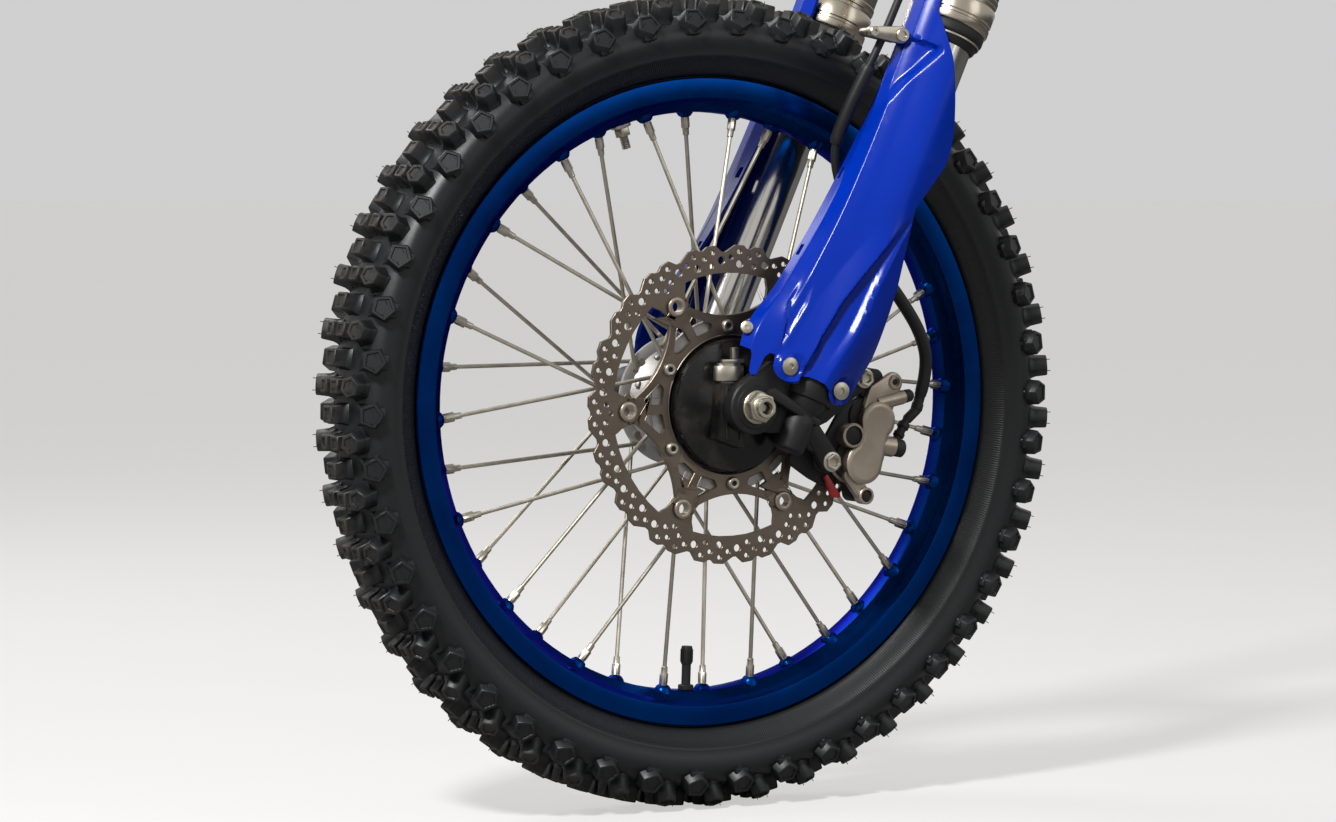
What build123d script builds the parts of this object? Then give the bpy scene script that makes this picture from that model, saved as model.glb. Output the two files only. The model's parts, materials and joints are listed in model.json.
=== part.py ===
from build123d import *
import math
import os

# Front wheel and upside-down fork of an enduro motorcycle, in millimetres.
# +X points to the motorcycle's rear, +Y to its right side, +Z up. The origin is on the
# steering axis, at the seat of the lower steering bearing.

# Steering geometry
rake_deg = 24.4  # steering axis from the vertical, as the machine stands
clamp_offset = 22.0  # leg axes ahead of the steering axis
axle_lead = 46.0  # axle ahead of the leg axes
axle_to_seat = 730.0  # axle level to lower bearing seat, along the steering axis
leg_half_spacing = 102.0

# Fits
slide_gap = 0.2  # between a round piece and the seat that holds it, on the radius
running_gap = 0.5  # between the turning wheel and its axle or spacers
pad_gap = 0.4  # brake pad to disc

# Rim
rim_flange_radius = 280.5
rim_half_width = 25.5
rim_flange_thickness = 4.5
rim_flange_height = 17.0  # flange edge above the bead seat
rim_well_depth = 12.5  # bead seat above the bed that faces the hub
rim_wall = 4.0
rim_bed_half_width = 10.0

# Tyre, with one facet of carcass to each pitch of its tread; heights are above the rim flange
tyre_crown_height = 55.5
tyre_crown_half_width = 17.5
tyre_shoulder_height = 41.5
tyre_shoulder_half_width = 38.5
tyre_side_height = 22.5
tyre_side_half_width = 39.5
tyre_bead_width = 12.0
tyre_wall = 9.0
tread_pitches = 46
first_pitch_angle = 0.3
knob_depth = 17.0  # from a knob's top into the carcass
knob_draft_angle = 5.0
# place in the pitch, y and height of the top's middle, outward tilt, length round the
# tyre, width across it
knob_rows = [
    (0.0, 0.0, 71.0, 0.0, 17.0, 17.0),
    (0.5, 0.0, 70.5, 0.0, 13.0, 31.0),
    (0.5, -30.5, 65.5, 26.0, 14.0, 11.0),
    (0.5, 30.5, 65.5, -26.0, 14.0, 11.0),
    (0.0, -42.5, 52.0, 62.0, 17.0, 9.0),
    (0.0, 42.5, 52.0, -62.0, 17.0, 9.0),
]

# Hub
hub_bore_radius = 10.0
hub_barrel_radius = 29.0
flange_radius = 57.0
left_flange_y = -43.0
right_flange_y = 33.5
flange_thickness = 3.0
hub_left_end = -52.0
hub_right_end = 55.0
disc_seat_outer_radius = 75.0
disc_seat_thickness = 5.0
carrier_opening_radius = 60.0

# Spokes
spoke_count = 36
spoke_radius = 1.8
spoke_circle_radius = 50.0
spoke_face_gap = 0.1  # spoke to the face of its flange
spoke_lean = 0.3  # what an outboard spoke leans in for each millimetre of the flange's radius
lacing_angle = 35.5
first_spoke_angle = 2.0
nipple_flat_width = 6.4
nipple_length = 20.0
nipple_plane = -2.0
nipple_half_offset = 4.0
nipple_seat_gap = 0.8  # the nipple's flat end stays clear of the round rim bed

# Brake disc
disc_plane = -59.5
disc_radius = 136.5
disc_inner_radius = 113.0
disc_thickness = 3.0
carrier_thickness = 5.0
bobbin_circle_radius = 99.5
bobbin_count = 6
bobbin_first_angle = 122.0
bobbin_radius = 6.5
bobbin_flange_radius = 8.75
bobbin_hole_radius = 4.7
bobbin_boss_radius = 11.5
bobbin_flange_thickness = 1.5
disc_bolt_circle_radius = 67.6
disc_bolt_first_angle = 92.3
disc_bolt_head_radius = 5.5
disc_bolt_shank_radius = 3.0
wave_count = 18  # each wave has a deep notch and, half a wave on, a shallow one
wave_angle = 12.0
# angle from the wave's deep notch and depth below the ring's edge
wave_notches = [
    (3.8, 0.0), (1.2, 6.0), (-0.4, 6.0), (-4.6, 0.0),
    (-8.1, 0.0), (-9.4, 2.6), (-10.8, 2.6), (-12.7, 0.0),
]
# angle from the wave's deep notch, radius on the ring, radius of the hole
wave_holes = [(1.6, 124.0, 3.4), (-6.8, 120.8, 3.4)]
# one of the two windows in each of the carrier's arms: along the arm, and beside it
carrier_window = [(66.4, 3.9), (81.5, 4.4), (83.2, 8.5), (67.3, 22.0), (63.8, 16.5)]
carrier_window_fillet = 1.6
carrier_valley_distance = 159.5  # centre of the round valley between two arms
carrier_valley_radius = 82.5

# Axle
axle_radius = 9.8
axle_bore_radius = 5.5
axle_end_radius = 8.6
axle_head_radius = 12.5
axle_head_reach = 11.0  # past the right lug's outer face
nut_flange_radius = 14.0
nut_flat_width = 23.0
nut_height = 15.0

# Sensor housing: a dish in the carrier's opening, with an upright outlet
dish_radius = 57.0
outlet_x = -14.0
outlet_y = -83.5
outlet_radius = 9.5
outlet_top = 24.0

# Fork legs, heights along the leg from axle level
inner_tube_radius = 24.0
inner_tube_wall = 2.0
inner_tube_bottom = 50.0
inner_tube_top = 620.0
outer_tube_bottom = 376.0
outer_tube_top = 930.0
collar_radius = 32.5
collar_top = 455.0
lower_clamp_radius = 29.5
upper_clamp_radius = 27.5
seal_height = 18.0
seal_radius = 31.0
cap_radius = 26.0
cap_height = 13.0

# Lugs
lug_socket_radius = 30.0
lug_socket_top = 94.0
lug_boss_radius = 22.0
lug_inner_reach = 11.0  # faces of the axle boss, inboard and outboard of the leg's axis
lug_outer_reach = 15.0
arm_reach = 3.0  # outer face of the caliper's arms, outboard of the leg's axis
lug_foot_radius = 15.0
lug_foot_bottom = -21.0

# Fork guards
guard_wall = 3.0
guard_reach = 58.0  # how far outboard of the leg's axis a guard may come
# x and z of each bolt, and its seat on the lug, outboard of the leg's axis
guard_bolt_places = [(9.0, 42.0, 18.0), (62.0, 42.0, 29.5)]
guard_bolt_reach = 33.0  # outer face of the guard's bosses
guard_boss_radius = 9.0
guard_bolt_radius = 3.0
guard_head_radius = 7.5
# height, then a guard's wall from its inner front edge to its rear one, as (behind the leg's
# axis, outboard of it)
guard_sections = [
    (10.0, [(-74, -14), (-66, 6), (-46, 22), (-30, 28), (0, 30), (22, 27), (40, 20)]),
    (60.0, [(-84, -14), (-72, 6), (-50, 22), (-30, 31), (0, 35), (22, 32), (40, 24)]),
    (110.0, [(-62, -20), (-58, 0), (-46, 18), (-28, 31), (0, 36), (22, 34), (42, 28)]),
    (190.0, [(-46, -24), (-46, -4), (-40, 15), (-26, 31), (0, 36), (24, 35), (46, 30)]),
    (300.0, [(-32, -24), (-41, -6), (-39, 14), (-27, 31), (-4, 40), (22, 38), (46, 30)]),
    (400.0, [(-32, -26), (-42, -8), (-41, 12), (-29, 31), (-6, 41), (20, 40), (44, 32)]),
]
# a guard's outline from the side, behind the axle and above it
guard_outline = [
    (-40, 66), (-36, 42), (-24, 26), (-14, 26), (-16, 46), (-4, 50), (-2, 34), (4, 29), (14, 29),
    (20, 36), (26, 46), (44, 42), (50, 32), (58, 29), (68, 32), (74, 50), (74, 76), (72, 103),
    (70, 140), (63, 184), (58, 211), (64, 231), (71, 253), (64, 287), (57, 303), (36, 340),
    (8, 384), (2, 398), (-20, 398), (-20, 330), (-30, 200), (-45, 100),
]

# Clamps and stem
lower_clamp_bottom = 688.0
lower_clamp_top = 726.0
upper_clamp_bottom = 891.0
upper_clamp_top = 921.0
clamp_wall = 10.0
stem_journal_radius = 15.0
stem_upper_radius = 12.5
stem_bore_radius = 9.5
stem_journal_length = 22.0
stem_top = 944.0
stem_nut_radius = 18.0
stem_nut_height = 12.0
bar_mount_radius = 6.0
bar_mount_half_spacing = 50.0
bar_mount_x = 60.0
fender_bolt_places = [(53.0, -36.0), (53.0, 36.0), (71.0, -36.0), (71.0, 36.0)]
fender_bolt_radius = 3.0
fender_bolt_depth = 16.0

# Caliper, in a frame turned to its place on the disc
caliper_angle = -12.0
piston_inset = 8.5  # the pistons' centres, in from the disc's edge
piston_housing_radius = 17.5
piston_half_spacing = 18.0
pad_half_spacing = 22.0
pad_end_radius = 9.0
pad_inset = 13.5  # the pads' middle line, in from the disc's edge
bridge_gap = 3.5  # disc's edge to the caliper's bridge
bridge_thickness = 10.0
bridge_height = 52.0
outer_leg_gap = 13.0  # disc's middle plane to the caliper's outer and inner legs
inner_leg_gap = 11.0
inner_leg_thickness = 8.0
piston_housing_depth = 27.0
pin_half_spacing = 50.0
pin_radius = 4.5

# Bolts that hold the caliper's bracket, in the fork's frame
caliper_bolt_x = 92.0
caliper_bolt_heights = (66.0, -12.0)
caliper_bolt_radius = 4.0
bracket_thickness = 10.0

# Brake hose, from the caliper past the leg's inner side and up its front, in the fork's frame
hose_radius = 3.6
hose_clip_gap = 1.1  # round the hose in its clips, where it runs a little aslant
hose_clamp_place = (-11.0, -98.5, 347.0)  # on the guard
hose_guide_place = (-5.0, -80.0, 707.0)  # on the lower clamp
hose_route = [
    (163.0, -80.0, 79.0),
    (160.0, -80.5, 104.0),
    (142.0, -80.0, 128.0),
    (112.0, -76.0, 148.0),
    (80.0, -72.0, 165.0),
    (49.0, -70.0, 185.0),
    (20.0, -72.0, 208.0),
    (-4.0, -74.0, 237.0),
    (-11.0, -86.5, 274.0),
    (-12.0, -95.0, 311.0),
    hose_clamp_place,
    (-10.0, -98.0, 390.0),
    (-7.0, -96.0, 448.0),
    (-8.0, -92.0, 520.0),
    (-5.0, -87.0, 592.0),
    (-6.0, -83.0, 655.0),
    hose_guide_place,
    (-6.0, -75.0, 765.0),
    (4.0, -68.0, 822.0),
    (22.0, -60.0, 872.0),
]
banjo_bore_radius = 5.0
banjo_eye_thickness = 7.0
banjo_eye_reach = 25.0  # hose end to the eye's centre

# Frames: the wheel's centre, and the fork's own frame with z along the legs
rake = math.radians(rake_deg)
stem_lead = axle_lead + clamp_offset
wheel_centre = (
    -stem_lead * math.cos(rake) - axle_to_seat * math.sin(rake),
    0,
    stem_lead * math.sin(rake) - axle_to_seat * math.cos(rake),
)
wheel_frame = Pos(*wheel_centre)
fork_frame = wheel_frame * Rot(0, rake_deg, 0)
caliper_frame = wheel_frame * Rot(0, -caliper_angle, 0)
bead_seat_radius = rim_flange_radius - rim_flange_height
rim_bed_radius = bead_seat_radius - rim_well_depth
lug_inner_face = leg_half_spacing - lug_inner_reach
lug_outer_face = leg_half_spacing + lug_outer_reach
arm_outer_face = leg_half_spacing + arm_reach
bridge_radius = disc_radius + bridge_gap + bridge_thickness / 2  # where the slider pins are too


def turned(outline):
    """Solid of revolution about Y from (radius, y) points."""
    return revolve(make_face(Polyline(*outline, close=True)), Axis.Y)


def turned_up(outline):
    """Solid of revolution about Z from (radius, z) points."""
    return revolve(make_face(Polyline(*[(r, 0, z) for r, z in outline], close=True)), Axis.Z)


def cross_rod(radius, y_from, y_to, x=0.0, z=0.0):
    """Cylinder along Y."""
    length = y_to - y_from
    return Pos(x, y_from + length / 2, z) * Rot(-90, 0, 0) * Cylinder(radius, length)


def upright_rod(radius, z_from, z_to, x=0.0, y=0.0):
    """Cylinder along Z."""
    length = z_to - z_from
    return Pos(x, y, z_from + length / 2) * Cylinder(radius, length)


def side_plate(sketch, y_from, y_to):
    """Extrudes a sketch, drawn with x to the rear and y up, from y_from to y_to."""
    return Pos(0, y_to, 0) * Rot(90, 0, 0) * extrude(sketch, y_to - y_from)


def hull_of(circles):
    """Face round a row of circles, given as (x, z, radius)."""
    return make_hull([edge for x, z, r in circles for edge in (Pos(x, z) * Circle(r)).edges()])


def polar(radius, angle_deg):
    angle = math.radians(angle_deg)
    return radius * math.cos(angle), radius * math.sin(angle)


def carcass_section():
    """Half of the tyre's section mirrored, as (radius, y) points."""
    seat = bead_seat_radius + slide_gap
    bead_face = rim_half_width - rim_flange_thickness - slide_gap
    half = [
        (seat, bead_face),
        (rim_flange_radius + 3.0, bead_face),
        (rim_flange_radius + tyre_side_height, tyre_side_half_width),
        (rim_flange_radius + tyre_shoulder_height, tyre_shoulder_half_width),
        (rim_flange_radius + tyre_crown_height, tyre_crown_half_width),
    ]
    inside = [
        (rim_flange_radius + tyre_crown_height - tyre_wall, tyre_crown_half_width - tyre_wall / 2),
        (rim_flange_radius + tyre_side_height + tyre_wall / 2, tyre_side_half_width - tyre_wall - 2.5),
        (seat, bead_face - tyre_bead_width),
    ]
    outer = half + [(r, -y) for r, y in reversed(half)]
    return outer + [(r, -y) for r, y in reversed(inside)] + inside


def make_tyre():
    """One pitch of carcass with its knobs, repeated round the wheel."""
    pitch = 360.0 / tread_pitches
    reach = rim_flange_radius + tyre_crown_height + knob_depth
    half_chord = reach * math.tan(math.radians(pitch / 2))
    wedge = make_face(Polyline((0, 0), (reach, half_chord), (reach, -half_chord), close=True))
    wedge = side_plate(wedge, -2 * tyre_side_half_width, 2 * tyre_side_half_width)
    block = extrude(make_face(Polyline(*carcass_section(), close=True)), 2 * half_chord, both=True)
    sector = block & wedge
    for phase, y, height, tilt, length, width in knob_rows:
        grow = 2 * knob_depth * math.tan(math.radians(knob_draft_angle))
        knob = extrude(Rectangle(length + grow, width + grow), knob_depth, taper=knob_draft_angle)
        turn = 90.0 - pitch * (phase - 0.25)
        top = Pos(0, y, rim_flange_radius + height) * Rot(tilt, 0, 0)
        sector += Rot(0, turn, 0) * top * Pos(0, 0, -knob_depth) * knob
    turns = [first_pitch_angle + pitch * (i + 0.25) for i in range(tread_pitches)]
    sectors = [Rot(0, -turn, 0) * sector for turn in turns]
    return sectors[0].fuse(*sectors[1:])


def make_rim():
    flange_inner = rim_half_width - rim_flange_thickness
    half = [
        (rim_bed_radius, rim_bed_half_width),
        (rim_bed_radius + 9.0, rim_half_width - 7.0),
        (rim_bed_radius + 12.0, rim_half_width),
        (rim_flange_radius - 1.5, rim_half_width),
        (rim_flange_radius, rim_half_width - 1.5),
        (rim_flange_radius, flange_inner + 0.8),
        (rim_flange_radius - 0.8, flange_inner),
        (bead_seat_radius, flange_inner),
        (bead_seat_radius - 0.8, rim_bed_half_width + 3.0),
        (rim_bed_radius + rim_wall, rim_bed_half_width - 1.5),
    ]
    return turned(half + [(r, -y) for r, y in reversed(half)])


def make_hub():
    """Turned hub: disc seat, a thin spoke flange at each side, and the barrel between them."""
    seat_face = disc_plane + carrier_thickness / 2
    bore = hub_bore_radius + running_gap
    half = flange_thickness / 2
    neck = spoke_circle_radius - 6.0
    outline = [
        (bore, hub_left_end),
        (24.0, hub_left_end),
        (27.0, hub_left_end + 3.0),
        (42.0, hub_left_end + 3.0),
        (carrier_opening_radius - 2.0, seat_face + 3.0),
        (carrier_opening_radius, seat_face),
        (disc_seat_outer_radius, seat_face),
        (disc_seat_outer_radius, seat_face + disc_seat_thickness),
        (carrier_opening_radius + 4.0, seat_face + disc_seat_thickness + 1.0),
        (neck, seat_face + disc_seat_thickness + 1.0),
        (neck, left_flange_y - half),
        (flange_radius, left_flange_y - half),
        (flange_radius, left_flange_y + half),
        (neck, left_flange_y + half),
        (38.0, left_flange_y + 9.0),
        (hub_barrel_radius, left_flange_y + 28.0),
        (hub_barrel_radius, right_flange_y - 28.0),
        (38.0, right_flange_y - 9.0),
        (neck, right_flange_y - half),
        (flange_radius, right_flange_y - half),
        (flange_radius, right_flange_y + half),
        (neck, right_flange_y + half),
        (38.0, right_flange_y + 5.0),
        (30.0, hub_right_end - 8.0),
        (24.0, hub_right_end),
        (bore, hub_right_end),
    ]
    return turned(outline)


def make_spoke(side, rim_angle, lead, outboard):
    """One spoke from the face of its flange to its nipple, and the nipple on its end."""
    hub_angle = rim_angle + lead * lacing_angle
    flange_y = right_flange_y if side > 0 else left_flange_y
    offset = flange_thickness / 2 + spoke_face_gap + spoke_radius
    if outboard > 0:
        offset += spoke_lean * (flange_radius - spoke_circle_radius)
    hub_y = flange_y + side * outboard * offset
    hx, hz = polar(spoke_circle_radius, hub_angle)
    rx, rz = polar(rim_bed_radius, rim_angle)
    start = Vector(hx, hub_y, hz)
    end = Vector(rx, nipple_plane + side * nipple_half_offset, rz)
    line = (end - start).normalized()
    nipple_start = end - line * nipple_length
    spoke = Plane(start, z_dir=line) * Cylinder(
        spoke_radius, (nipple_start - start).length, align=(Align.CENTER, Align.CENTER, Align.MIN)
    )
    hexagon = RegularPolygon(nipple_flat_width / 2, 6, major_radius=False)
    nipple = Plane(nipple_start, z_dir=line) * extrude(hexagon, nipple_length - nipple_seat_gap)
    return spoke, nipple


def make_spokes():
    """All spokes and nipples, by side: four spokes to each step of the pattern."""
    spokes = {-1: [], 1: []}
    nipples = []
    step = 360.0 / spoke_count
    # place in the step, side, direction of lacing, outboard of the flange or inboard
    pattern = [(0, -1, 1, 1), (1, 1, -1, 1), (2, -1, -1, -1), (3, 1, 1, -1)]
    for group in range(spoke_count // 4):
        for place, side, lead, outboard in pattern:
            rim_angle = first_spoke_angle + step * (4 * group + place)
            spoke, nipple = make_spoke(side, rim_angle, lead, outboard)
            spokes[side].append(spoke)
            nipples.append(nipple)
    return spokes[-1], spokes[1], nipples


def around(count, first_angle, radius, piece):
    """Copies of a flat piece round the wheel axis, in the side view."""
    return [
        Rot(0, 0, first_angle + 360.0 * i / count) * Pos(radius, 0) * piece
        for i in range(count)
    ]


def make_disc_ring():
    """Waved friction ring with its large holes, and six tabs that reach in to the bobbins."""
    edge = [
        polar(disc_radius - depth, wave_angle + 360.0 * i / wave_count + angle)
        for i in reversed(range(wave_count))
        for angle, depth in wave_notches
    ]
    tab = hull_of([(0, 0, bobbin_boss_radius), (16.0, 0, bobbin_boss_radius + 3.0)])
    tabs = Sketch() + around(bobbin_count, bobbin_first_angle, bobbin_circle_radius, tab)
    tabs = (tabs & Circle(disc_inner_radius + 2.0)) - Circle(bobbin_circle_radius + running_gap)
    outline = make_face(Polyline(*edge, close=True)) - Circle(disc_inner_radius) + tabs
    bobbin_hole = Circle(bobbin_radius + slide_gap)
    outline -= around(bobbin_count, bobbin_first_angle, bobbin_circle_radius, bobbin_hole)
    for angle, radius, hole in wave_holes:
        outline -= around(wave_count, wave_angle + angle, radius, Circle(hole))
    half = disc_thickness / 2
    return side_plate(outline, disc_plane - half, disc_plane + half)


def make_carrier():
    """Six-armed carrier with a pair of windows in each arm, drawn along the arm."""
    bobbin_hole = Circle(bobbin_radius + slide_gap)
    bolt_hole = Circle(disc_bolt_shank_radius + slide_gap)
    valley = Circle(carrier_valley_radius)
    outline = Circle(bobbin_circle_radius + 2.0)
    outline -= around(bobbin_count, disc_bolt_first_angle, carrier_valley_distance, valley)
    outline += around(bobbin_count, bobbin_first_angle, bobbin_circle_radius, Circle(bobbin_boss_radius))
    outline = outline & Circle(bobbin_circle_radius - running_gap)
    outline -= Circle(carrier_opening_radius)
    outline -= around(bobbin_count, bobbin_first_angle, bobbin_circle_radius, bobbin_hole)
    outline -= around(bobbin_count, disc_bolt_first_angle, disc_bolt_circle_radius, bolt_hole)
    window = make_face(Polyline(*carrier_window, close=True))
    window = fillet(window.vertices(), carrier_window_fillet)
    windows = window + mirror(window, Plane.XZ)
    outline -= around(bobbin_count, bobbin_first_angle, 0.0, windows)
    half = carrier_thickness / 2
    return side_plate(outline, disc_plane - half, disc_plane + half)


def make_bobbins():
    half = carrier_thickness / 2
    flange = bobbin_flange_thickness
    outline = [
        (bobbin_hole_radius, -half - flange),
        (bobbin_flange_radius, -half - flange),
        (bobbin_flange_radius, -half),
        (bobbin_radius, -half),
        (bobbin_radius, half),
        (bobbin_flange_radius, half),
        (bobbin_flange_radius, half + flange),
        (bobbin_hole_radius, half + flange),
    ]
    bobbin = Pos(0, disc_plane, 0) * turned(outline)
    step = 360.0 / bobbin_count
    places = [polar(bobbin_circle_radius, bobbin_first_angle + step * i) for i in range(bobbin_count)]
    return [Pos(x, 0, z) * bobbin for x, z in places]


def make_disc_bolts():
    face = disc_plane - carrier_thickness / 2
    bolts = []
    for i in range(bobbin_count):
        x, z = polar(disc_bolt_circle_radius, disc_bolt_first_angle + 60.0 * i)
        head = cross_rod(disc_bolt_head_radius, face - 3.0, face, x, z)
        shank = cross_rod(disc_bolt_shank_radius, face, face + carrier_thickness, x, z)
        bolts.append(head + shank)
    return bolts


def make_valve():
    x, z = polar(1.0, 268.0)
    line = Vector(-x, 0, -z)
    seat = rim_bed_radius - slide_gap
    start = Vector(seat * x, 0, seat * z)
    place = Plane(start, z_dir=line)
    base = (Align.CENTER, Align.CENTER, Align.MIN)
    stem = place * Cylinder(4.0, 26.0, align=base)
    nut = place * Cylinder(7.0, 4.0, align=base)
    cap = place * Pos(0, 0, 24.0) * Cylinder(5.0, 14.0, align=base)
    return stem + nut + cap


def make_rim_lock():
    x, z = polar(1.0, 107.0)
    line = Vector(-x, 0, -z)
    seat = rim_bed_radius - slide_gap
    start = Vector(seat * x, 0, seat * z)
    place = Plane(start, z_dir=line)
    base = (Align.CENTER, Align.CENTER, Align.MIN)
    stud = place * Cylinder(4.0, 22.0, align=base)
    washer = place * Cylinder(9.0, 3.0, align=base)
    nut = place * Pos(0, 0, 3.0) * extrude(RegularPolygon(7.0, 6), 8.0)
    return stud + washer + nut


def make_axle():
    outline = [
        (axle_bore_radius, -lug_outer_face - nut_height),
        (axle_end_radius, -lug_outer_face - nut_height),
        (axle_end_radius, -lug_inner_face),
        (axle_radius, -lug_inner_face),
        (axle_radius, lug_inner_face),
        (axle_head_radius, lug_inner_face),
        (axle_head_radius, lug_outer_face + axle_head_reach),
        (axle_bore_radius, lug_outer_face + axle_head_reach),
    ]
    return turned(outline)


def make_axle_nut():
    face = -lug_outer_face
    flange = cross_rod(nut_flange_radius, face - 3.5, face)
    hexagon = RegularPolygon(nut_flat_width / 2, 6, major_radius=False)
    body = side_plate(hexagon, face - nut_height + 3.0, face - 3.0)
    bore = cross_rod(axle_end_radius + slide_gap, face - nut_height - 1.0, face + 1.0)
    return flange + body - bore


def make_sensor_housing():
    bore = axle_radius + slide_gap
    outline = [
        (bore, -lug_inner_face),
        (14.0, -lug_inner_face),
        (15.0, -76.0),
        (30.0, -72.0),
        (dish_radius - 3.0, -70.5),
        (dish_radius, -68.0),
        (dish_radius, -58.0),
        (dish_radius - 4.0, -58.0),
        (dish_radius - 4.0, -65.0),
        (24.0, -66.0),
        (22.0, hub_left_end - running_gap),
        (bore, hub_left_end - running_gap),
    ]
    low = (Align.CENTER, Align.CENTER, Align.MIN)
    outlet = Pos(outlet_x, outlet_y, -6.0) * Cylinder(outlet_radius, outlet_top + 6.0, align=low)
    bore_rod = cross_rod(bore, -lug_inner_face - 1.0, hub_left_end)
    outlet_end = Pos(0, -lug_inner_face - 20.0, 0) * Box(100.0, 40.0, 100.0)
    return turned(outline) + (outlet - outlet_end) - bore_rod


def make_sensor_cap():
    low = (Align.CENTER, Align.CENTER, Align.MIN)
    place = Pos(outlet_x, outlet_y, outlet_top)
    cap = Cylinder(outlet_radius + 0.5, 13.0, align=low) + Pos(0, 0, 13.0) * Cylinder(6.0, 8.0, align=low)
    return place * cap


def make_spacer_right():
    outline = [
        (axle_radius + slide_gap, hub_right_end + running_gap),
        (15.0, hub_right_end + running_gap),
        (18.0, lug_inner_face),
        (axle_radius + slide_gap, lug_inner_face),
    ]
    return turned(outline)


def tube_seat(side):
    """Bore of a lug's socket, for the leg's inner tube."""
    radius = inner_tube_radius + slide_gap
    return upright_rod(radius, inner_tube_bottom, lug_socket_top + 1.0, axle_lead, side * leg_half_spacing)


def lug_body(side):
    """Casting at a leg's foot, in the fork's frame: axle boss, tube socket and web."""
    inner = side * lug_inner_face
    outer = side * lug_outer_face
    low, high = sorted((inner, outer))
    leg_y = side * leg_half_spacing
    socket = Pos(axle_lead, leg_y, 0) * turned_up([
        (0, lug_foot_bottom),
        (lug_foot_radius, lug_foot_bottom),
        (lug_foot_radius, 4.0),
        (22.0, 12.0),
        (lug_socket_radius, 48.0),
        (lug_socket_radius, lug_socket_top),
        (0, lug_socket_top),
    ])
    boss = cross_rod(lug_boss_radius, low, high)
    web = hull_of([(0, 0, lug_boss_radius - 1.0), (axle_lead, 14.0, 20.0), (10.0, 42.0, 8.0)])
    web = side_plate(web, *sorted((inner, side * (lug_outer_face - 1.0))))
    lug = socket + boss + web
    for x, z, seat in guard_bolt_seats():
        lug += cross_rod(guard_boss_radius - 1.0, *sorted((leg_y, -side * seat)), x, z)
    return lug - tube_seat(side)


def make_lug_left():
    lug = lug_body(-1)
    arms = Sketch() + [
        hull_of([(axle_lead, 30.0, 18.0), (caliper_bolt_x, caliper_bolt_heights[0], 9.0)]),
        hull_of([(axle_lead, 10.0, 16.0), (caliper_bolt_x, caliper_bolt_heights[1], 9.0)]),
    ]
    lug += side_plate(arms, -arm_outer_face, -lug_inner_face)
    bolt_hole = caliper_bolt_radius + slide_gap
    for z in caliper_bolt_heights:
        lug -= cross_rod(bolt_hole, -arm_outer_face - 1.0, -lug_inner_face + 1.0, caliper_bolt_x, z)
    lug -= tube_seat(-1)
    return lug - cross_rod(axle_end_radius + slide_gap, -lug_outer_face - 1.0, -lug_inner_face + 1.0)


def make_lug_right():
    lug = lug_body(1)
    clamp = side_plate(hull_of([(0, 0, 26.0), (-6.0, -24.0, 12.0)]), lug_inner_face, lug_outer_face)
    lug += clamp
    bore = cross_rod(axle_head_radius + slide_gap, lug_inner_face - 1.0, lug_outer_face + 1.0)
    slot = Pos(-6.0, leg_half_spacing, -26.0) * Box(3.0, 60.0, 40.0)
    return lug - bore - slot


def make_inner_tube(side):
    outline = [
        (inner_tube_radius - inner_tube_wall, inner_tube_bottom),
        (inner_tube_radius, inner_tube_bottom),
        (inner_tube_radius, inner_tube_top),
        (inner_tube_radius - inner_tube_wall, inner_tube_top),
    ]
    return Pos(axle_lead, side * leg_half_spacing, 0) * turned_up(outline)


def make_dust_seal(side):
    bottom = outer_tube_bottom - seal_height
    bore = inner_tube_radius + slide_gap
    outline = [
        (bore, bottom),
        (bore + 2.0, bottom),
        (seal_radius - 2.5, bottom + 8.0),
        (seal_radius, bottom + 10.0),
        (seal_radius, outer_tube_bottom),
        (bore, outer_tube_bottom),
    ]
    return Pos(axle_lead, side * leg_half_spacing, 0) * turned_up(outline)


def make_outer_tube(side):
    bore = inner_tube_radius + slide_gap
    outline = [
        (bore, outer_tube_bottom),
        (collar_radius - 1.5, outer_tube_bottom),
        (collar_radius, outer_tube_bottom + 1.5),
        (collar_radius, outer_tube_bottom + 24.0),
        (collar_radius - 2.0, outer_tube_bottom + 28.0),
        (collar_radius - 2.0, collar_top),
        (lower_clamp_radius - 1.5, collar_top + 20.0),
        (lower_clamp_radius, lower_clamp_bottom - 30.0),
        (lower_clamp_radius, lower_clamp_top + 6.0),
        (upper_clamp_radius, lower_clamp_top + 40.0),
        (upper_clamp_radius, outer_tube_top),
        (bore, outer_tube_top),
    ]
    return Pos(axle_lead, side * leg_half_spacing, 0) * turned_up(outline)


def make_fork_cap(side):
    base = Pos(axle_lead, side * leg_half_spacing, outer_tube_top)
    low = (Align.CENTER, Align.CENTER, Align.MIN)
    hexagon = extrude(RegularPolygon(cap_radius - 2.0, 8), cap_height)
    plug = Pos(0, 0, -12.0) * Cylinder(inner_tube_radius, 12.0, align=low)
    knob = Pos(0, 0, cap_height) * Cylinder(9.0, 6.0, align=low)
    return base * (hexagon + plug + knob)


def guard_shell():
    """Curved wall round the front and outside of a leg, left side, in the fork's frame."""
    faces = []
    for height, points in guard_sections:
        outside = [(back, -out, 0) for back, out in points]
        inside = []
        for back, out in reversed(points):
            share = 1 - guard_wall / math.hypot(back, out)
            inside.append((back * share, -out * share, 0))
        ends = [Line(outside[-1], inside[0]), Line(inside[-1], outside[0])]
        section = make_face([Spline(*outside), ends[0], Spline(*inside), ends[1]])
        faces.append(Pos(axle_lead, -leg_half_spacing, height) * section)
    return loft(faces, ruled=True)


def guard_bolt_seats():
    """Each guard bolt's x, z and seat on the left lug, in the fork's frame."""
    return [(x, z, -leg_half_spacing - reach) for x, z, reach in guard_bolt_places]


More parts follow.
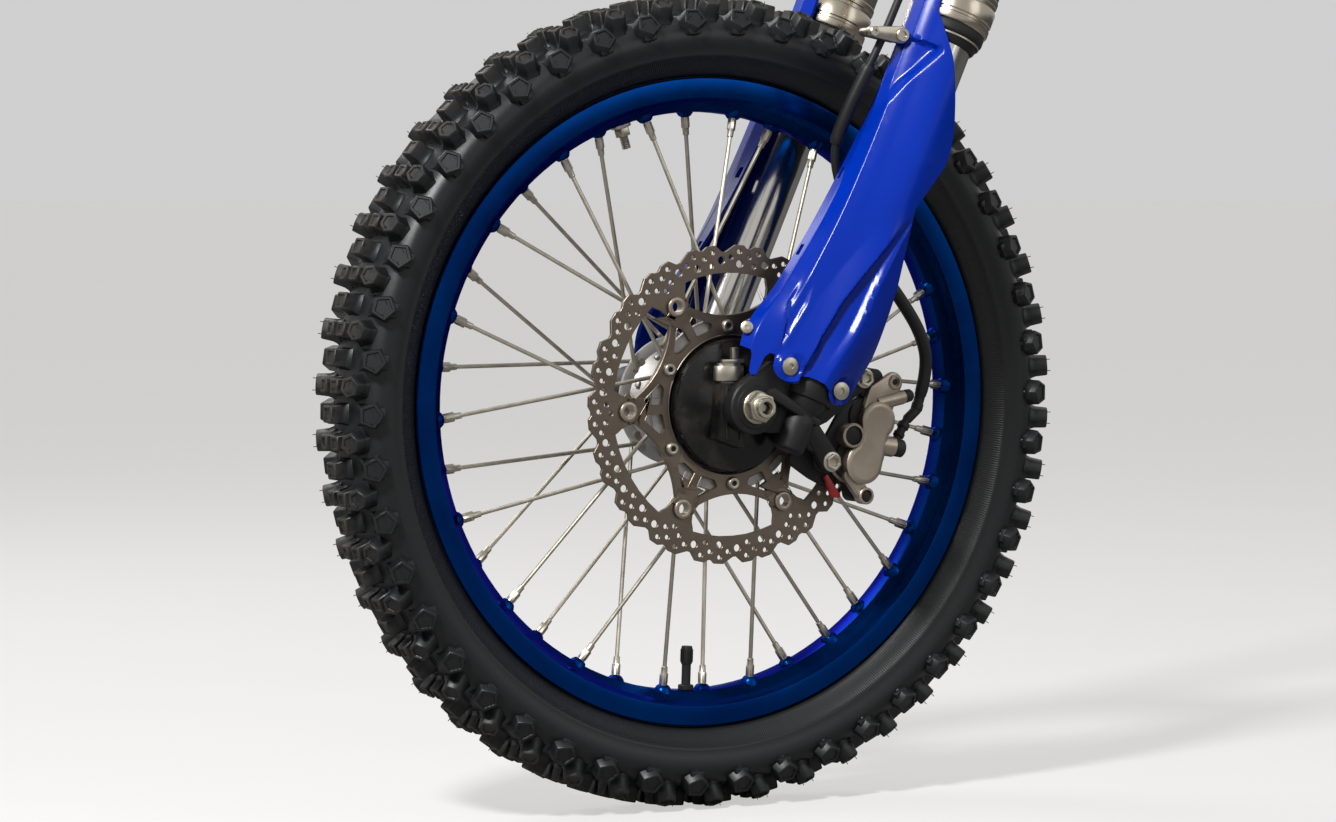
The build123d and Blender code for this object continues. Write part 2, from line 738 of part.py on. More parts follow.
def make_guard_left():
    outline = make_face(Polyline(*guard_outline, close=True))
    guard = guard_shell() & side_plate(outline, -leg_half_spacing - guard_reach, 0.0)
    face = -leg_half_spacing - guard_bolt_reach
    for x, z, seat in guard_bolt_seats():
        guard += cross_rod(guard_boss_radius, face, seat, x, z)
        guard -= cross_rod(guard_bolt_radius + slide_gap, face - 1.0, seat + 1.0, x, z)
        guard -= cross_rod(guard_boss_radius + 2.0, seat, -leg_half_spacing, x, z)
        guard -= cross_rod(guard_head_radius + 1.0, face - guard_reach, face, x, z)
    return guard


def make_guard_bolts():
    face = -leg_half_spacing - guard_bolt_reach
    bolts = []
    for x, z, seat in guard_bolt_seats():
        head = cross_rod(guard_head_radius, face - 3.0, face, x, z)
        bolts.append(head + cross_rod(guard_bolt_radius, face, seat, x, z))
    return bolts


def clamp_outline(ring_radius):
    """Plan of a fork clamp: a ring round each leg and the bridge between them."""
    rings = [Pos(0, side * leg_half_spacing) * Circle(ring_radius) for side in (-1, 1)]
    stem = Pos(clamp_offset, 0) * Circle(stem_journal_radius + clamp_wall + 4.0)
    arms = [
        hull_of([(clamp_offset, 0, 20.0), (6.0, side * (leg_half_spacing - 14.0), 16.0)])
        for side in (-1, 1)
    ]
    return Sketch() + rings + [stem] + arms


def make_clamp(leg_radius, stem_radius, bottom, top):
    body = extrude(clamp_outline(leg_radius + clamp_wall), top - bottom)
    cuts = [Pos(0, side * leg_half_spacing) * Circle(leg_radius + slide_gap) for side in (-1, 1)]
    cuts += [Pos(clamp_offset, 0) * Circle(stem_radius + slide_gap)]
    holes = Pos(0, 0, -1.0) * extrude(Sketch() + cuts, top - bottom + 2.0)
    slots = [
        Pos(-leg_radius - clamp_wall, side * leg_half_spacing, (top - bottom) / 2) * Box(24.0, 3.0, top)
        for side in (-1, 1)
    ]
    body = body - holes - slots
    return Pos(axle_lead, 0, bottom) * body


def make_lower_clamp():
    clamp = make_clamp(lower_clamp_radius, stem_journal_radius, lower_clamp_bottom, lower_clamp_top)
    hole_top = lower_clamp_bottom + fender_bolt_depth
    for x, y in fender_bolt_places:
        clamp -= upright_rod(fender_bolt_radius, lower_clamp_bottom, hole_top, x, y)
    return clamp


def make_upper_clamp():
    clamp = make_clamp(upper_clamp_radius, stem_upper_radius, upper_clamp_bottom, upper_clamp_top)
    low, high = upper_clamp_bottom - 1.0, upper_clamp_top + 1.0
    for side in (-1, 1):
        y = side * bar_mount_half_spacing
        clamp -= upright_rod(bar_mount_radius, low, high, bar_mount_x, y)
    return clamp


def make_hose_guide():
    """Clip on the lower clamp's front, round the hose."""
    x, y, z = hose_guide_place
    clip = Pos(x, y, z - 6.0) * extrude(hull_of([(0, 0, 8.0), (10.0, 0.0, 8.0)]), 12.0)
    clamp_radius = lower_clamp_radius + clamp_wall + slide_gap
    leg = upright_rod(clamp_radius, z - 40.0, z + 40.0, axle_lead, -leg_half_spacing)
    return clip - leg - upright_rod(hose_radius + hose_clip_gap, z - 20.0, z + 20.0, x, y)


def make_hose_clamp():
    """Clamp block that holds the hose to the left guard."""
    x, y, z = hose_clamp_place
    block = Pos(x, y, z - 8.0) * extrude(hull_of([(0, 0, 8.0), (9.0, 4.0, 6.5)]), 16.0)
    return block - upright_rod(hose_radius + hose_clip_gap, z - 20.0, z + 20.0, x, y)


def make_banjo(point, before, turn):
    """Hose end: a crimped sleeve along the hose, and an eye."""
    start = Vector(*point)
    line = (start - Vector(*before)).normalized()
    low = (Align.CENTER, Align.CENTER, Align.MIN)
    sleeve = Plane(start, z_dir=line) * Cylinder(5.0, 18.0, align=low)
    eye_centre = start + line * banjo_eye_reach
    across = Vector(0, 1, 0) if turn == "y" else line.cross(Vector(0, 1, 0))
    ring = Cylinder(8.5, banjo_eye_thickness) - Cylinder(banjo_bore_radius, banjo_eye_thickness + 1.0)
    return sleeve + Plane(eye_centre, z_dir=across) * ring


def lower_eye_centre():
    """Centre of the hose's eye on the caliper, in the fork's frame."""
    start = Vector(*hose_route[0])
    return start + (start - Vector(*hose_route[1])).normalized() * banjo_eye_reach


def make_banjo_bolt():
    """Bolt through the hose's lower eye into the caliper's boss."""
    eye = lower_eye_centre()
    half = banjo_eye_thickness / 2
    head = side_plate(Pos(eye.X, eye.Z) * RegularPolygon(7.5, 6), eye.Y - half - 6.0, eye.Y - half)
    shank = cross_rod(banjo_bore_radius - slide_gap, eye.Y - half, eye.Y + half, eye.X, eye.Z)
    return head + shank


def make_steering_stem():
    outline = [
        (stem_bore_radius, lower_clamp_bottom),
        (stem_journal_radius, lower_clamp_bottom),
        (stem_journal_radius, lower_clamp_top),
        (stem_journal_radius + 6.0, lower_clamp_top),
        (stem_journal_radius + 6.0, axle_to_seat),
        (stem_journal_radius, axle_to_seat),
        (stem_journal_radius, axle_to_seat + stem_journal_length),
        (stem_upper_radius, axle_to_seat + stem_journal_length + 4.0),
        (stem_upper_radius, stem_top),
        (stem_bore_radius, stem_top),
    ]
    return Pos(stem_lead, 0, 0) * turned_up(outline)


def make_stem_nut():
    hexagon = RegularPolygon(stem_nut_radius, 6) - Circle(stem_upper_radius + slide_gap)
    return Pos(stem_lead, 0, upper_clamp_top) * extrude(hexagon, stem_nut_height)


def pin_place(side):
    """A slider pin's place in the fork's frame; side is 1 for the upper pin."""
    radius = math.hypot(bridge_radius, pin_half_spacing)
    angle = math.degrees(math.atan2(side * pin_half_spacing, bridge_radius))
    return polar(radius, angle + caliper_angle + rake_deg)


def make_caliper_bracket():
    """Plate from the lug's arms to the slider pins, in the fork's frame."""
    top = (caliper_bolt_x, caliper_bolt_heights[0], 9.0)
    low = (caliper_bolt_x, caliper_bolt_heights[1], 9.0)
    plate = Sketch() + [
        hull_of([top, (*pin_place(1), 8.0)]),
        hull_of([low, (*pin_place(-1), 6.5)]),
        hull_of([top, low]),
    ]
    return side_plate(plate, -lug_inner_face, -lug_inner_face + bracket_thickness)


def make_caliper_bolts():
    """Bolts through the lug's arms into the bracket."""
    bolts = []
    for z in caliper_bolt_heights:
        head = cross_rod(8.5, -arm_outer_face - 6.0, -arm_outer_face, caliper_bolt_x, z)
        shank = cross_rod(caliper_bolt_radius, -arm_outer_face, -lug_inner_face, caliper_bolt_x, z)
        bolts.append(head + shank)
    return bolts


def make_slider_pins():
    face = -lug_inner_face
    pins = []
    for side in (-1, 1):
        x, z = pin_place(side)
        shank = cross_rod(pin_radius - slide_gap, face - 12.0, face, x, z)
        pins.append(shank + cross_rod(6.5, face - 15.0, face - 12.0, x, z))
    return pins


def make_caliper_body():
    """Sliding caliper with two pistons outboard, in the caliper's own frame."""
    outer = disc_plane - outer_leg_gap - piston_housing_depth
    pistons = hull_of([
        (disc_radius - piston_inset, side * piston_half_spacing, piston_housing_radius) for side in (-1, 1)
    ])
    body = side_plate(pistons, outer, disc_plane - outer_leg_gap)
    inner_end = disc_plane + inner_leg_gap + inner_leg_thickness
    bridge = Pos(bridge_radius, 0) * Rectangle(bridge_thickness, bridge_height)
    body += side_plate(bridge, outer + 8.0, inner_end)
    inner_foot = disc_radius - pad_inset - pad_end_radius + 2.0
    inner_top = bridge_radius + bridge_thickness / 2
    inner_leg = Pos((inner_foot + inner_top) / 2, 0) * Rectangle(inner_top - inner_foot, bridge_height)
    body += side_plate(inner_leg, disc_plane + inner_leg_gap, inner_end)
    face = -lug_inner_face
    ears = hull_of([(bridge_radius, side * pin_half_spacing, 8.0) for side in (-1, 1)])
    body += side_plate(ears, face - 12.0, face - 2.0)
    eye = lower_eye_centre()
    eye_x, eye_z = polar(
        math.hypot(eye.X, eye.Z), math.degrees(math.atan2(eye.Z, eye.X)) - rake_deg - caliper_angle
    )
    boss = hull_of([(eye_x, eye_z, 6.9), (bridge_radius + 2.0, eye_z, 9.0)])
    boss_face = eye.Y + banjo_eye_thickness / 2
    body += side_plate(boss, boss_face, boss_face + 14.0)
    for side in (-1, 1):
        body -= cross_rod(pin_radius, face - 20.0, face, bridge_radius, side * pin_half_spacing)
    return body


def make_brake_pads():
    half = disc_thickness / 2
    middle = disc_radius - pad_inset
    pad = hull_of([(middle, side * pad_half_spacing, pad_end_radius) for side in (-1, 1)])
    outer = side_plate(pad, disc_plane - outer_leg_gap + slide_gap, disc_plane - half - pad_gap)
    inner = side_plate(pad, disc_plane + half + pad_gap, disc_plane + inner_leg_gap - slide_gap)
    return [outer, inner]


def make_hose():
    """Brake hose along its route: straight runs joined by tangent arcs."""
    points = [Vector(*p) for p in hose_route]
    radii = []
    for before, at, after in zip(points, points[1:], points[2:]):
        turn = math.radians((at - before).get_angle(after - at))
        run = min((at - before).length, (after - at).length)
        radii.append(0.45 * run / math.tan(turn / 2))
    print("hose radii", [round(r) for r in radii])
    path = FilletPolyline(*hose_route, radius=radii)
    start = Plane(path @ 0, z_dir=path % 0)
    tube = sweep(start * Circle(hose_radius), path)
    section = math.pi * hose_radius**2
    print("hose length", round(path.length), "volume over section", round(tube.volume / section))
    return tube


# node name, body, frame, solids
left_spokes, right_spokes, nipples = make_spokes()
pieces = [
    ("tyre", wheel_frame, make_tyre()),
    ("rim", wheel_frame, make_rim()),
    ("hub", wheel_frame, make_hub()),
    ("spokes_left", wheel_frame, left_spokes),
    ("spokes_right", wheel_frame, right_spokes),
    ("spoke_nipples", wheel_frame, nipples),
    ("disc_ring", wheel_frame, make_disc_ring()),
    ("disc_carrier", wheel_frame, make_carrier()),
    ("disc_bobbins", wheel_frame, make_bobbins()),
    ("disc_bolts", wheel_frame, make_disc_bolts()),
    ("valve_stem", wheel_frame, make_valve()),
    ("rim_lock", wheel_frame, make_rim_lock()),
    ("axle", wheel_frame, make_axle()),
    ("axle_nut", wheel_frame, make_axle_nut()),
    ("sensor_housing", wheel_frame, make_sensor_housing()),
    ("sensor_cap", wheel_frame, make_sensor_cap()),
    ("spacer_right", wheel_frame, make_spacer_right()),
    ("lug_left", fork_frame, make_lug_left()),
    ("lug_right", fork_frame, make_lug_right()),
    ("lower_clamp", fork_frame, make_lower_clamp()),
    ("upper_clamp", fork_frame, make_upper_clamp()),
    ("steering_stem", fork_frame, make_steering_stem()),
    ("stem_nut", fork_frame, make_stem_nut()),
    ("caliper_bracket", fork_frame, make_caliper_bracket()),
    ("caliper_bolts", fork_frame, make_caliper_bolts()),
    ("caliper_body", caliper_frame, make_caliper_body()),
    ("brake_pads", caliper_frame, make_brake_pads()),
    ("guard_left", fork_frame, make_guard_left()),
    ("guard_right", fork_frame, mirror(make_guard_left(), Plane.XZ)),
    ("guard_bolts_left", fork_frame, make_guard_bolts()),
    ("guard_bolts_right", fork_frame, [mirror(bolt, Plane.XZ) for bolt in make_guard_bolts()]),
    ("slider_pins", fork_frame, make_slider_pins()),
    ("brake_hose", fork_frame, make_hose()),
    ("hose_guide", fork_frame, make_hose_guide()),
    ("hose_clamp", fork_frame, make_hose_clamp()),
    ("banjo_upper", fork_frame, make_banjo(hose_route[-1], hose_route[-2], "x")),
    ("banjo_lower", fork_frame, make_banjo(hose_route[0], hose_route[1], "y")),
    ("banjo_bolt", fork_frame, make_banjo_bolt()),
]
for side, word in ((-1, "left"), (1, "right")):
    pieces += [
        ("inner_tube_" + word, fork_frame, make_inner_tube(side)),
        ("dust_seal_" + word, fork_frame, make_dust_seal(side)),
        ("outer_tube_" + word, fork_frame, make_outer_tube(side)),
        ("fork_cap_" + word, fork_frame, make_fork_cap(side)),
    ]

os.makedirs("parts", exist_ok=True)
for name, place, shape in pieces:
    solids = shape if isinstance(shape, list) else [shape]
    solids = [solid for item in solids for solid in item.solids()]
    export_step(place * Compound(solids), f"parts/{name}.step")
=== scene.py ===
import json
import math
import bmesh
import bpy
from bmesh.types import BMEdge, BMFace, BMVert
from mathutils import Matrix, Vector


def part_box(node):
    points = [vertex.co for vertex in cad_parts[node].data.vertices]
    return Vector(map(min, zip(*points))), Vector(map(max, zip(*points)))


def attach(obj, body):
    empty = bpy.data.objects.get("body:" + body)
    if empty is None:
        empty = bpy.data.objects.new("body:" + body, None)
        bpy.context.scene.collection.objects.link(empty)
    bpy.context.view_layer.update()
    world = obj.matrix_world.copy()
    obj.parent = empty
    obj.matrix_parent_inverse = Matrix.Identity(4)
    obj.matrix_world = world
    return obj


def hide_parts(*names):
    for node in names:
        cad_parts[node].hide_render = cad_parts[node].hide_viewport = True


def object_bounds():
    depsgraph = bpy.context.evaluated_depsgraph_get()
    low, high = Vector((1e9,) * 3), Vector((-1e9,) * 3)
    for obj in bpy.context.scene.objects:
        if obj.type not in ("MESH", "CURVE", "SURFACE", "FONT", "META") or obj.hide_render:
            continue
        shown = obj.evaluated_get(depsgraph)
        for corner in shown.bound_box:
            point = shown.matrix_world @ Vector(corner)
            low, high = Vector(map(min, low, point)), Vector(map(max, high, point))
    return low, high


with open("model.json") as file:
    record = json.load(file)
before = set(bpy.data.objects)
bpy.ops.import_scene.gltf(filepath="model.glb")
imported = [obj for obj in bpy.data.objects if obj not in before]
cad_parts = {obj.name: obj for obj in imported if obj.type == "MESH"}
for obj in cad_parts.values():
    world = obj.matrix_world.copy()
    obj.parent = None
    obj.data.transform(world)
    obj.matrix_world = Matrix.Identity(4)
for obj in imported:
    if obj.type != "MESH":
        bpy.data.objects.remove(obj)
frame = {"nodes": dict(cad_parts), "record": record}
cadBox = [list(corner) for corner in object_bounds()]
mm = 0.001  # pieces are drawn in millimetres


def at(x, y, z=0.0):
    return Matrix.Translation((x, y, z))


def turned(degrees, axis):
    return Matrix.Rotation(math.radians(degrees), 4, axis)


# The wheel's frame has x to the rear, y to the right and z up, from the axle's middle. The fork's
# frame is that one leaned back, with z up the legs.
rimLow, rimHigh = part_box("rim")
wheelCentre = (rimLow + rimHigh) / 2
wheelPlace = Matrix.Translation(wheelCentre)
forkPlace = wheelPlace @ turned(24.4, "Y")
bodyPlaces = {"wheel": wheelPlace, "fork": forkPlace}
alongAxle = turned(-90, "X")  # turns a piece's z axis to y
legLead, legHalf = 46.0, 102.0  # a leg's middle line, from the axle's middle


class Wire:  # a node's output, which can be added to and scaled
    def __init__(self, graph, socket):
        self.graph = graph
        self.socket = socket

    def __add__(self, other):
        return self.graph.sum("ADD", self, other)

    def __radd__(self, other):
        return self.graph.sum("ADD", other, self)

    def __sub__(self, other):
        return self.graph.sum("SUBTRACT", self, other)

    def __rsub__(self, other):
        return self.graph.sum("SUBTRACT", other, self)

    def __mul__(self, other):
        return self.graph.sum("MULTIPLY", self, other)

    def __rmul__(self, other):
        return self.graph.sum("MULTIPLY", other, self)

    def __pow__(self, other):
        return self.graph.sum("POWER", self, other)


class Graph:  # a tree of nodes
    def __init__(self, tree):
        self.tree = tree

    def node(self, kind, settings=None, inputs=None, output=0):
        made = self.tree.nodes.new(kind)
        for label, value in (settings or {}).items():
            setattr(made, label, value)
        pairs = inputs.items() if isinstance(inputs, dict) else enumerate(inputs or [])
        for key, value in pairs:
            self.join(made.inputs[key], value)
        return Wire(self, made.outputs[output])

    def join(self, socket, value):
        if isinstance(value, Wire):
            self.tree.links.new(value.socket, socket)
        else:
            socket.default_value = value

    def sum(self, operation, first, second=0.0):
        return self.node("ShaderNodeMath", {"operation": operation}, [first, second])


class Paint(Graph):  # one material, built up from its Principled shader
    def __init__(self, name, metallic=0.0, **more):
        self.material = bpy.data.materials.new(name)
        self.material.use_nodes = True
        super().__init__(self.material.node_tree)
        self.shader = self.tree.nodes["Principled BSDF"]
        self.spot = self.node("ShaderNodeTexCoord", output="Object")
        self.feed("Metallic", metallic)
        for label, value in more.items():
            self.feed(label.replace("_", " "), value)

    def feed(self, label, value):
        self.join(self.shader.inputs[label], value)

    def noise(self, scale, detail=3.0):
        values = {"Vector": self.spot, "Scale": scale, "Detail": detail}
        return self.node("ShaderNodeTexNoise", None, values, "Fac")

    def streaks(self, x, y, z, detail=2.0):  # noise that is stretched along some axes
        values = {"Vector": self.node("ShaderNodeCombineXYZ", None, [x, y, z]), "Detail": detail}
        return self.node("ShaderNodeTexNoise", None, values, "Fac")

    def fade(self, value, low, high):  # 0 at low, 1 at high
        settings = {"interpolation_type": "SMOOTHSTEP"}
        return self.node("ShaderNodeMapRange", settings, {"Value": value, "From Min": low, "From Max": high})

    def blend(self, share, first, second):
        values = {0: share, 6: first, 7: second}
        for key in (6, 7):
            if not isinstance(values[key], Wire):
                values[key] = (*values[key], 1.0)
        return self.node("ShaderNodeMix", {"data_type": "RGBA"}, values, 2)

    def clouds(self, scale, dark, light):  # soft patches of two tones
        cloud = self.noise(scale)
        self.feed("Base Color", self.blend(cloud, dark, light))
        return cloud

    def bump(self, height, distance, strength):
        values = {"Height": height, "Distance": distance, "Strength": strength}
        self.feed("Normal", self.node("ShaderNodeBump", None, values))

    def local(self, place):  # x, y and z in a piece's own frame
        values = {"Vector": self.spot, "Location": place.to_translation(), "Rotation": place.to_euler()}
        split = self.tree.nodes.new("ShaderNodeSeparateXYZ")
        self.join(split.inputs[0], self.node("ShaderNodeMapping", {"vector_type": "TEXTURE"}, values))
        return [Wire(self, socket) for socket in split.outputs]

    def round(self, place):  # distance from a frame's y axis, and angle about it
        x, y, z = self.local(place)
        return (x * x + z * z) ** 0.5, self.sum("ARCTAN2", z, x)


def tyreRubber():
    paint = Paint("tyreRubber", Specular_IOR_Level=0.4)
    radius, angle = paint.round(wheelPlace)
    broad = paint.noise(9.0)
    fine = paint.noise(140.0, 4.0)
    dust = paint.fade(radius + broad * 0.012, 0.345, 0.362) * paint.fade(fine, 0.35, 0.6)
    grey = paint.blend(broad, (0.004, 0.005, 0.006), (0.010, 0.011, 0.012))
    paint.feed("Base Color", paint.blend(dust * 0.4, grey, (0.09, 0.07, 0.05)))
    paint.feed("Roughness", 0.34 + broad * 0.16 + dust * 0.35)
    band = paint.fade(radius, 0.2835, 0.285) * paint.fade(radius, 0.299, 0.2975)
    hatch = paint.sum("SINE", angle * 900.0) * band
    paint.bump(fine * 0.5 + hatch * 0.4 + paint.noise(900.0) * 0.3, 0.0004, 0.6)
    return paint.material


def rimBlue():
    paint = Paint("rimBlue", 0.95, Specular_Tint=(0.05, 0.2, 0.7, 1.0))
    paint.clouds(14.0, (0.0, 0.014, 0.10), (0.001, 0.050, 0.25))
    paint.feed("Roughness", 0.2 + paint.noise(60.0) * 0.12)
    return paint.material


def castAlloy(name, dark, light, roughness):
    paint = Paint(name, 0.85)
    grain = paint.noise(700.0, 4.0)
    paint.clouds(35.0, dark, light)
    paint.feed("Roughness", roughness + grain * 0.15)
    paint.bump(grain, 0.0002, 0.5)
    return paint.material


def brushedSteel():
    paint = Paint("brushedSteel", 1.0)
    radius, angle = paint.round(wheelPlace)
    lines = paint.streaks(radius * 2600.0, angle * 3.0, 0.0)
    tone = paint.noise(30.0) * 0.6 + lines * 0.4
    paint.feed("Base Color", paint.blend(tone, (0.105, 0.082, 0.062), (0.26, 0.215, 0.17)))
    paint.feed("Roughness", 0.32 + lines * 0.2)
    paint.bump(lines, 0.0001, 0.4)
    return paint.material


def zincSteel():
    paint = Paint("zincSteel", 1.0)
    cloud = paint.clouds(120.0, (0.36, 0.325, 0.26), (0.60, 0.56, 0.47))
    paint.feed("Roughness", 0.27 + cloud * 0.2)
    return paint.material


def polished(name, colour, roughness):
    paint = Paint(name, 1.0)
    x, y, z = paint.local(forkPlace)
    rings = paint.streaks(x * 5.0, y * 5.0, z * 1500.0)
    paint.feed("Base Color", paint.blend(rings, tuple(0.85 * c for c in colour), colour))
    paint.feed("Roughness", roughness + rings * 0.08)
    return paint.material


def blackPlastic(name, tone, roughness, grain):
    paint = Paint(name, Specular_IOR_Level=0.35)
    cloud = paint.clouds(45.0, (tone * 0.7,) * 3, (tone * 1.5, tone * 1.5, tone * 1.6))
    paint.feed("Roughness", roughness + cloud * 0.15)
    paint.bump(paint.noise(grain, 4.0), 0.0003, 0.4)
    return paint.material


def guardBlue():
    paint = Paint("guardBlue", Specular_IOR_Level=0.2)
    paint.clouds(8.0, (0.0, 0.020, 0.32), (0.0, 0.034, 0.46))
    scuff = paint.fade(paint.noise(60.0, 6.0), 0.55, 0.8)
    paint.feed("Roughness", 0.2 + scuff * 0.14)
    paint.bump(paint.noise(220.0), 0.0001, 0.3)
    return paint.material


def glossBlack():
    paint = Paint("dishBlack", Specular_IOR_Level=0.4)
    x, y, z = paint.local(wheelPlace)
    scratch = paint.fade(paint.streaks((x + z) * 90.0, y * 10.0, (z - x) * 900.0), 0.62, 0.72)
    dust = paint.fade(paint.noise(40.0, 5.0), 0.45, 0.75)
    wear = dust * 0.35 + scratch * 0.3
    paint.feed("Base Color", paint.blend(wear, (0.005, 0.005, 0.005), (0.07, 0.06, 0.05)))
    paint.feed("Roughness", 0.16 + dust * 0.3 + scratch * 0.2)
    return paint.material


def redMark():
    paint = Paint("tagRed", Roughness=0.35)
    paint.clouds(120.0, (0.30, 0.006, 0.008), (0.5, 0.015, 0.015))
    return paint.material


def linked(name, data):
    piece = bpy.data.objects.new(name, data)
    bpy.context.scene.collection.objects.link(piece)
    return piece


camera = {
    "place": (-2.33335, -3.47525, -0.42962),  # metres
    "yaw": 29.216,  # degrees to the right of straight ahead
    "pitch": -3.087,
    "lens": 124.1,
}


def setCamera():
    made = bpy.data.cameras.new("camera")
    made.lens = camera["lens"]
    made.sensor_width = 36.0
    seen = linked("camera", made)
    seen.location = camera["place"]
    seen.rotation_euler = (math.radians(90 + camera["pitch"]), 0, math.radians(-camera["yaw"]))
    bpy.context.scene.camera = seen


stage = {
    "reach": 60.0,
    "below": 0.0005,  # gap under the tyre
    "colours": [(0.34, 0.335, 0.33), (0.36, 0.355, 0.35)],
    "glow": (0.55, 0.545, 0.54),  # what the camera sees of the floor beyond the lamps' light
    # place from the wheel's centre, size, watts
    "lamps": [((-2.3, -1.5, 2.5), 0.5, 150.0), ((1.8, -2.8, 1.4), 1.6, 10.0), ((-0.4, 2.4, 2.2), 1.6, 30.0)],
    "sky": (0.98, 0.98, 0.98),
    "world": 0.14,
    "seen": 0.50,  # what is added where the sky is seen, or mirrored
}


def setStage():
    bm = bmesh.new()
    bmesh.ops.create_circle(bm, cap_ends=True, segments=96, radius=stage["reach"])
    bmesh.ops.translate(bm, verts=bm.verts, vec=(wheelCentre.x, wheelCentre.y, cadBox[0][2] - stage["below"]))
    mesh = bpy.data.meshes.new("floor")
    bm.to_mesh(mesh)
    bm.free()
    paint = Paint("floorPaint", Roughness=0.9, Specular_IOR_Level=0.1, Emission_Strength=1.0)
    paint.clouds(3.0, *stage["colours"])
    toCamera = paint.node("ShaderNodeLightPath", output="Is Camera Ray")
    paint.feed("Emission Color", paint.blend(toCamera, (0.0, 0.0, 0.0), stage["glow"]))
    mesh.materials.append(paint.material)
    linked("floor", mesh)
    for number, (place, size, watts) in enumerate(stage["lamps"]):
        lamp = bpy.data.lights.new(f"lamp{number}", "AREA")
        lamp.size = size
        lamp.energy = watts
        light = linked(lamp.name, lamp)
        light.location = wheelCentre + Vector(place)
        light.rotation_euler = (-Vector(place)).to_track_quat("-Z", "Y").to_euler()
    world = bpy.data.worlds.new("studio")
    world.use_nodes = True
    bpy.context.scene.world = world
    sky = Graph(world.node_tree)
    background = sky.tree.nodes["Background"].inputs
    background["Color"].default_value = (*stage["sky"], 1.0)
    kinds = ("Camera", "Glossy", "Transmission")
    rays = [sky.node("ShaderNodeLightPath", output=f"Is {kind} Ray") for kind in kinds]
    sky.join(background["Strength"], (rays[0] + rays[1] + rays[2]) * stage["seen"] + stage["world"])
    bpy.context.scene.view_settings.view_transform = "Standard"


setCamera()
setStage()
print("camera and stage are set")

zinc = zincSteel()
caliperAlloy = castAlloy("caliperAlloy", (0.26, 0.21, 0.165), (0.48, 0.41, 0.34), 0.30)
hoseRubber = blackPlastic("hoseRubber", 0.008, 0.42, 600.0)
slotPaints = {
    "tyre": tyreRubber(),
    "rim_blue": rimBlue(),
    "hub_cast": castAlloy("hubAlloy", (0.28, 0.27, 0.26), (0.46, 0.45, 0.43), 0.42),
    "zinc_steel": zinc,
    "disc_steel": brushedSteel(),
    "bobbin_alloy": caliperAlloy,
    # soft black rubber, also used as painted shade in the caliper ear's hole
    "black_rubber": blackPlastic("softBlackAndShade", 0.009, 0.5, 300.0),
    # moulded black plastic, also used as painted shade in the axle's bore and in the disc bolts' sockets
    "black_plastic": blackPlastic("mouldedBlackAndShade", 0.008, 0.3, 500.0),
    "lug_black": blackPlastic("lugBlack", 0.008, 0.42, 800.0),
    "guard_blue": guardBlue(),
    "chrome_tube": polished("chrome", (0.72, 0.70, 0.66), 0.1),
    "tube_silver": polished("nickel", (0.50, 0.445, 0.36), 0.2),
    "clamp_alloy": castAlloy("clampAlloy", (0.22, 0.22, 0.23), (0.36, 0.36, 0.37), 0.4),
    "caliper_alloy": caliperAlloy,
    "pad_iron": castAlloy("padIron", (0.05, 0.045, 0.04), (0.12, 0.10, 0.09), 0.6),
}
nodeSlots = {row["node"]: row["material_slot"] for row in frame["record"]["subparts"]}
for name, node in frame["nodes"].items():
    node.data.materials.clear()
    node.data.materials.append(slotPaints[nodeSlots[name]])
print("materials are on the frame")


def onSide(y, x=0.0, z=0.0):  # for what is drawn from the left: x to the rear, y up, z to the viewer
    return at(x, y, z) @ turned(90, "X")


def polar(radius, degrees):
    angle = math.radians(degrees)
    return radius * math.cos(angle), radius * math.sin(angle)


def ringPoints(x, y, radius, count, start=0.0, turn=360.0):
    steps = count if turn == 360.0 else count - 1
    points = [polar(radius, start + turn * i / steps) for i in range(count)]
    return [(x + a, y + b) for a, b in points]


def turnedPoints(points, degrees):
    c, s = polar(1.0, degrees)
    return [(x * c - y * s, x * s + y * c) for x, y in points]


def only(kind, geometry):
    return [item for item in geometry if isinstance(item, kind)]


def frameFrom(origin, along, towards):  # z runs along, x leans towards
    z = along.normalized()
    x = (towards - z * towards.dot(z)).normalized()
    return Matrix.Translation(origin) @ Matrix((x, z.cross(x), z)).transposed().to_4x4()


def lathe(outline, steps=64):  # turns (radius, height) points about z
    bm = bmesh.new()
    verts = [bm.verts.new((radius, 0, height)) for radius, height in outline]
    edges = [bm.edges.new(pair) for pair in zip(verts, verts[1:])]
    if outline[0][0] > 0:
        edges.append(bm.edges.new((verts[-1], verts[0])))
    bmesh.ops.spin(
        bm, geom=verts + edges, cent=(0, 0, 0), axis=(0, 0, 1), angle=math.tau, steps=steps, use_merge=True
    )
    bmesh.ops.remove_doubles(bm, verts=bm.verts, dist=0.001)
    bmesh.ops.recalc_face_normals(bm, faces=bm.faces)
    return bm


def softEdges(bm, width, segments=2, degrees=30):
    bm.normal_update()
    edges = [e for e in bm.edges if len(e.link_faces) == 2 and e.calc_face_angle() > math.radians(degrees)]
    bmesh.ops.bevel(
        bm, geom=edges, offset=width, affect="EDGES", segments=segments, profile=0.5, material=-1,
        clamp_overlap=True,
    )
    return bm


def prism(sides, radius, height, bevel=0.4):
    bm = bmesh.new()
    bmesh.ops.create_cone(bm, cap_ends=True, segments=sides, radius1=radius, radius2=radius, depth=height)
    bmesh.ops.translate(bm, verts=bm.verts, vec=(0, 0, height / 2))
    return softEdges(bm, bevel) if bevel else bm


def brick(size, bevel=1.0, segments=2):
    bm = bmesh.new()
    bmesh.ops.create_cube(bm, size=1.0)
    bmesh.ops.scale(bm, vec=size, verts=bm.verts)
    return softEdges(bm, bevel, segments) if bevel else bm


